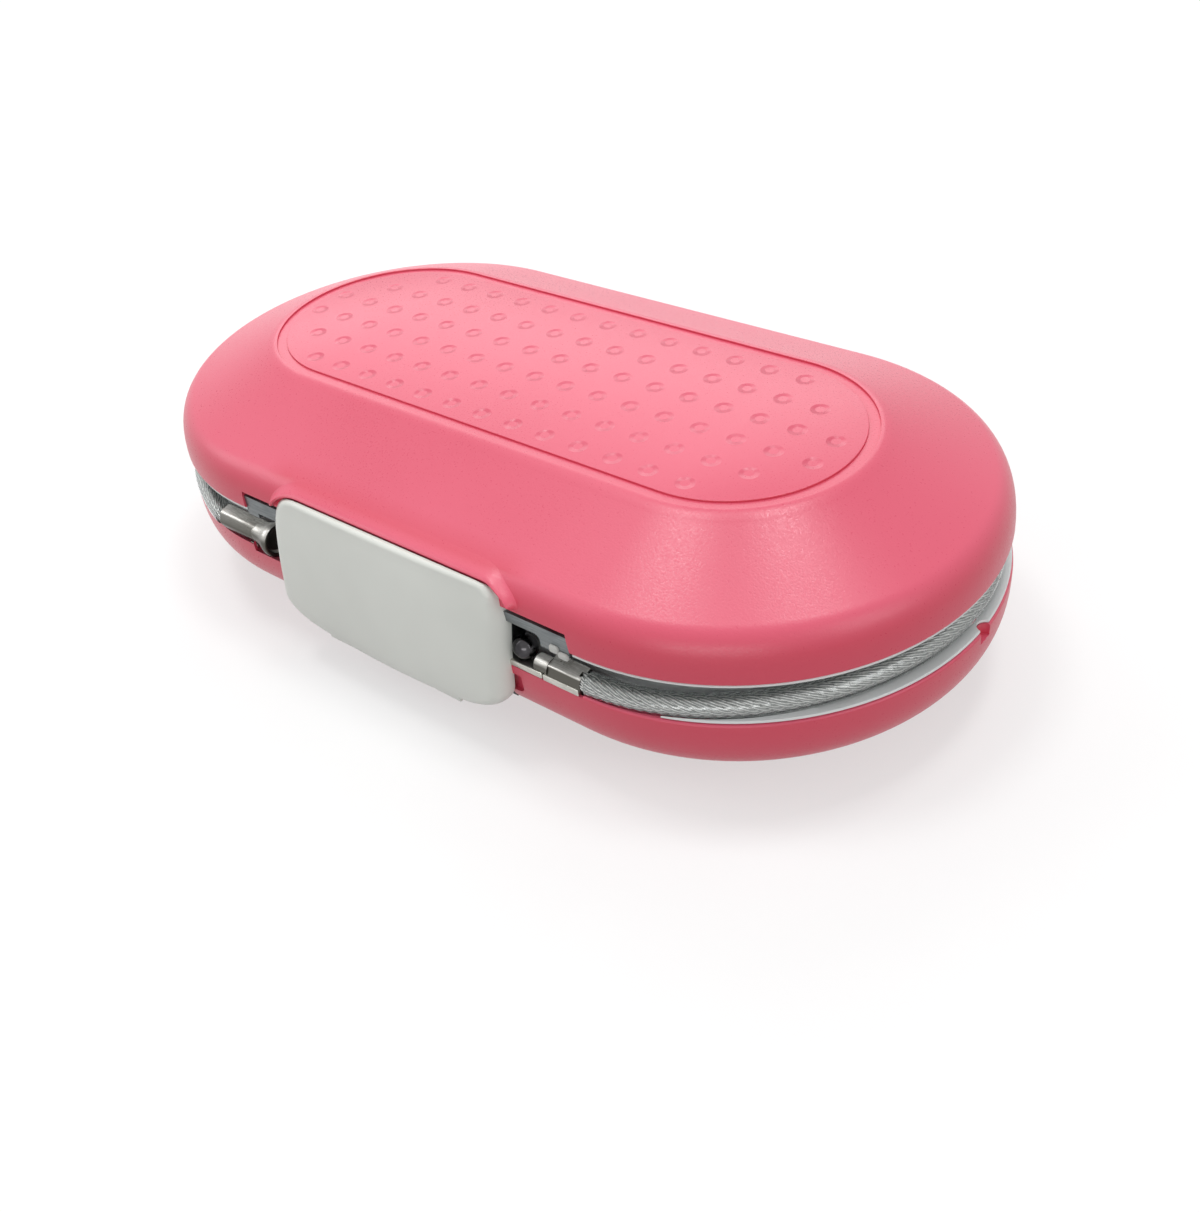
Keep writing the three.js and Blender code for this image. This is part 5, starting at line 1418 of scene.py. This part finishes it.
def digit(number, x):
    """One digit, bent round the drum. Number zero faces the front."""
    curve = bpy.data.curves.new("digit", "FONT")
    curve.body = str(number)
    curve.size = DIGIT_SIZE * 1.35
    curve.extrude = DIGIT_RAISE
    curve.align_x = "CENTER"
    curve.align_y = "CENTER"
    made = bpy.data.objects.new("digit", curve)
    bpy.context.scene.collection.objects.link(made)
    bpy.context.view_layer.update()
    mesh = bpy.data.meshes.new_from_object(made.evaluated_get(bpy.context.evaluated_depsgraph_get()))
    bpy.data.objects.remove(made)
    centre = math.tau * number / DIGITS
    points = []
    for v in mesh.vertices:
        turn = centre + v.co.y / DIAL_RADIUS
        radius = DIAL_RADIUS + v.co.z - 0.02
        y, z = DIAL_AXIS[0] - radius * math.cos(turn), DIAL_AXIS[1] + radius * math.sin(turn)
        points.append((x + v.co.x, y, z))
    return raw("digit", points, [list(p.vertices) for p in mesh.polygons])


for i, x in enumerate(DIAL_PLACES, 1):
    drum = prism(f"dial_{i}_drum", dial_outline(), x - DIAL_HALF, x + DIAL_HALF, "x")
    cut(drum, bar("bore", DIAL_BORE, x - DIAL_PITCH / 2, x + DIAL_PITCH / 2, DIAL_AXIS, "x", 64))
    rounded(drum, 0.3, 3, 40)
    dress(drum, dial_black, f"wheel_{i}", "black_plastic", f"dial_{i}", sharp=FINE_SHARP)
    first = digit(0, x)
    first.name = f"dial_{i}_digits"
    attach(first, *(digit(number, x) for number in range(1, DIGITS)))
    dress(first, number_paint, f"wheel_{i}", "black_plastic")
    refined(f"tumbler_{i}", turned_steel, f"wheel_{i}", "steel", 0.12)

# %% [markdown]
# The rest of the lock is sheet steel, wire and small mouldings whose CAD forms are right,
# so each keeps its form and gets softer edges and its finish.

# %% Lock works
refined("lock_chassis", frame_steel, "base", "dark_steel", 0.2)
refined("lock_face_plate", face_black, "base", "black_plastic", 0.25)
refined("dial_shaft", turned_steel, "base", "steel", 0.15)
refined("detent_spring", turned_steel, "base", "steel", 0.05)
refined("release_button", button_white, "button", "button_plastic", 0.4)
refined("latch_bar", turned_steel, "latch", "steel", 0.12)
refined("cover_hinge_pin", turned_steel, "base", "steel", 0.15)
refined("lid_hinge_pin", turned_steel, "base", "steel", 0.2)
spring_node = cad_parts["button_spring"]
spring_node.data.materials.clear()
spring_node.data.materials.append(turned_steel.material)

# %% [markdown]
# The stage: a pale floor that goes white before the camera but still takes the object's
# shadow, a world that is white to the camera and dim as a light, and six soft lamps.

# %% Floor, world and lamps
FLOOR_HALF = 3.0
FLOOR_TINT = 0.55
DIM = 0.42
WHITE = (1, 1, 1, 1)
LAMP_AIM = (0, 0, 0.03)


def seen(graph):
    """1 where the camera sees something straight, in a mirror or through glass."""
    ray = graph.node("ShaderNodeLightPath")
    camera, glossy, clear = (ray.beside(f"Is {kind} Ray") for kind in ("Camera", "Glossy", "Transmission"))
    return (camera + glossy + clear).math("MINIMUM", 1.0)


def stage_floor():
    mesh = bpy.data.meshes.new("floor")
    outline = [(u * FLOOR_HALF, v * FLOOR_HALF, 0) for u, v in ((-1, -1), (1, -1), (1, 1), (-1, 1))]
    mesh.from_pydata(outline, [], [(0, 1, 2, 3)])
    made = bpy.data.objects.new("floor", mesh)
    bpy.context.scene.collection.objects.link(made)
    finish = Finish("floor", roughness=0.9, specular_ior_level=0.0)
    straight = seen(finish)
    speckle = finish.span(finish.noise(40), 0.95, 1.0)
    dim = finish.node("ShaderNodeCombineColor", {}, {0: DIM, 1: DIM, 2: DIM})
    pale = finish.node("ShaderNodeCombineColor", {}, {0: speckle, 1: speckle, 2: speckle})
    finish.vary("Base Color", finish.blend(straight, dim, pale))
    glow = finish.node("ShaderNodeEmission", {}, {"Color": WHITE, "Strength": 1.0})
    matt = Wire(finish, finish.shader.outputs[0])
    mixed = finish.node("ShaderNodeMixShader", {}, {0: straight * FLOOR_TINT, 1: matt, 2: glow})
    finish.show(mixed, "Material Output")
    mesh.materials.append(finish.material)
    return made


stage_floor()
world = bpy.data.worlds.new("world")
bpy.context.scene.world = world
sky = Graph(world)
background = sky.tree.nodes["Background"]
background.inputs["Color"].default_value = WHITE
background.inputs["Strength"].default_value = DIM
bright = sky.node("ShaderNodeBackground", {}, {"Color": WHITE, "Strength": 1.0})
dull = Wire(sky, background.outputs[0])
sky.show(sky.node("ShaderNodeMixShader", {}, {0: seen(sky), 1: dull, 2: bright}), "World Output")


def lamp(name, place, size, power):
    data = bpy.data.lights.new(name, "AREA")
    data.shape = "RECTANGLE"
    data.size, data.size_y = size
    data.energy = power
    made = bpy.data.objects.new(name, data)
    bpy.context.scene.collection.objects.link(made)
    made.location = place
    made.rotation_mode = "QUATERNION"
    made.rotation_quaternion = (Vector(LAMP_AIM) - Vector(place)).to_track_quat("-Z", "Y")


lamp("top_left_softbox", (-0.28, -0.03, 1.1), (0.26, 0.26), 2.7)
lamp("top_right_softbox", (0.15, 0.24, 1.12), (0.24, 0.24), 2.7)
lamp("back_softbox", (-0.7, 0.8, 0.75), (1.4, 0.9), 6.0)
lamp("left_softbox", (-0.9, -0.5, 0.7), (0.5, 0.7), 2.4)
lamp("right_softbox", (1.0, -0.1, 0.6), (0.5, 0.6), 1.8)
lamp("front_softbox", (0.5, -1.1, 0.3), (0.8, 0.35), 2.4)
bpy.context.scene.view_settings.view_transform = "Standard"
print("floor half", FLOOR_HALF, "m, world dim", DIM)
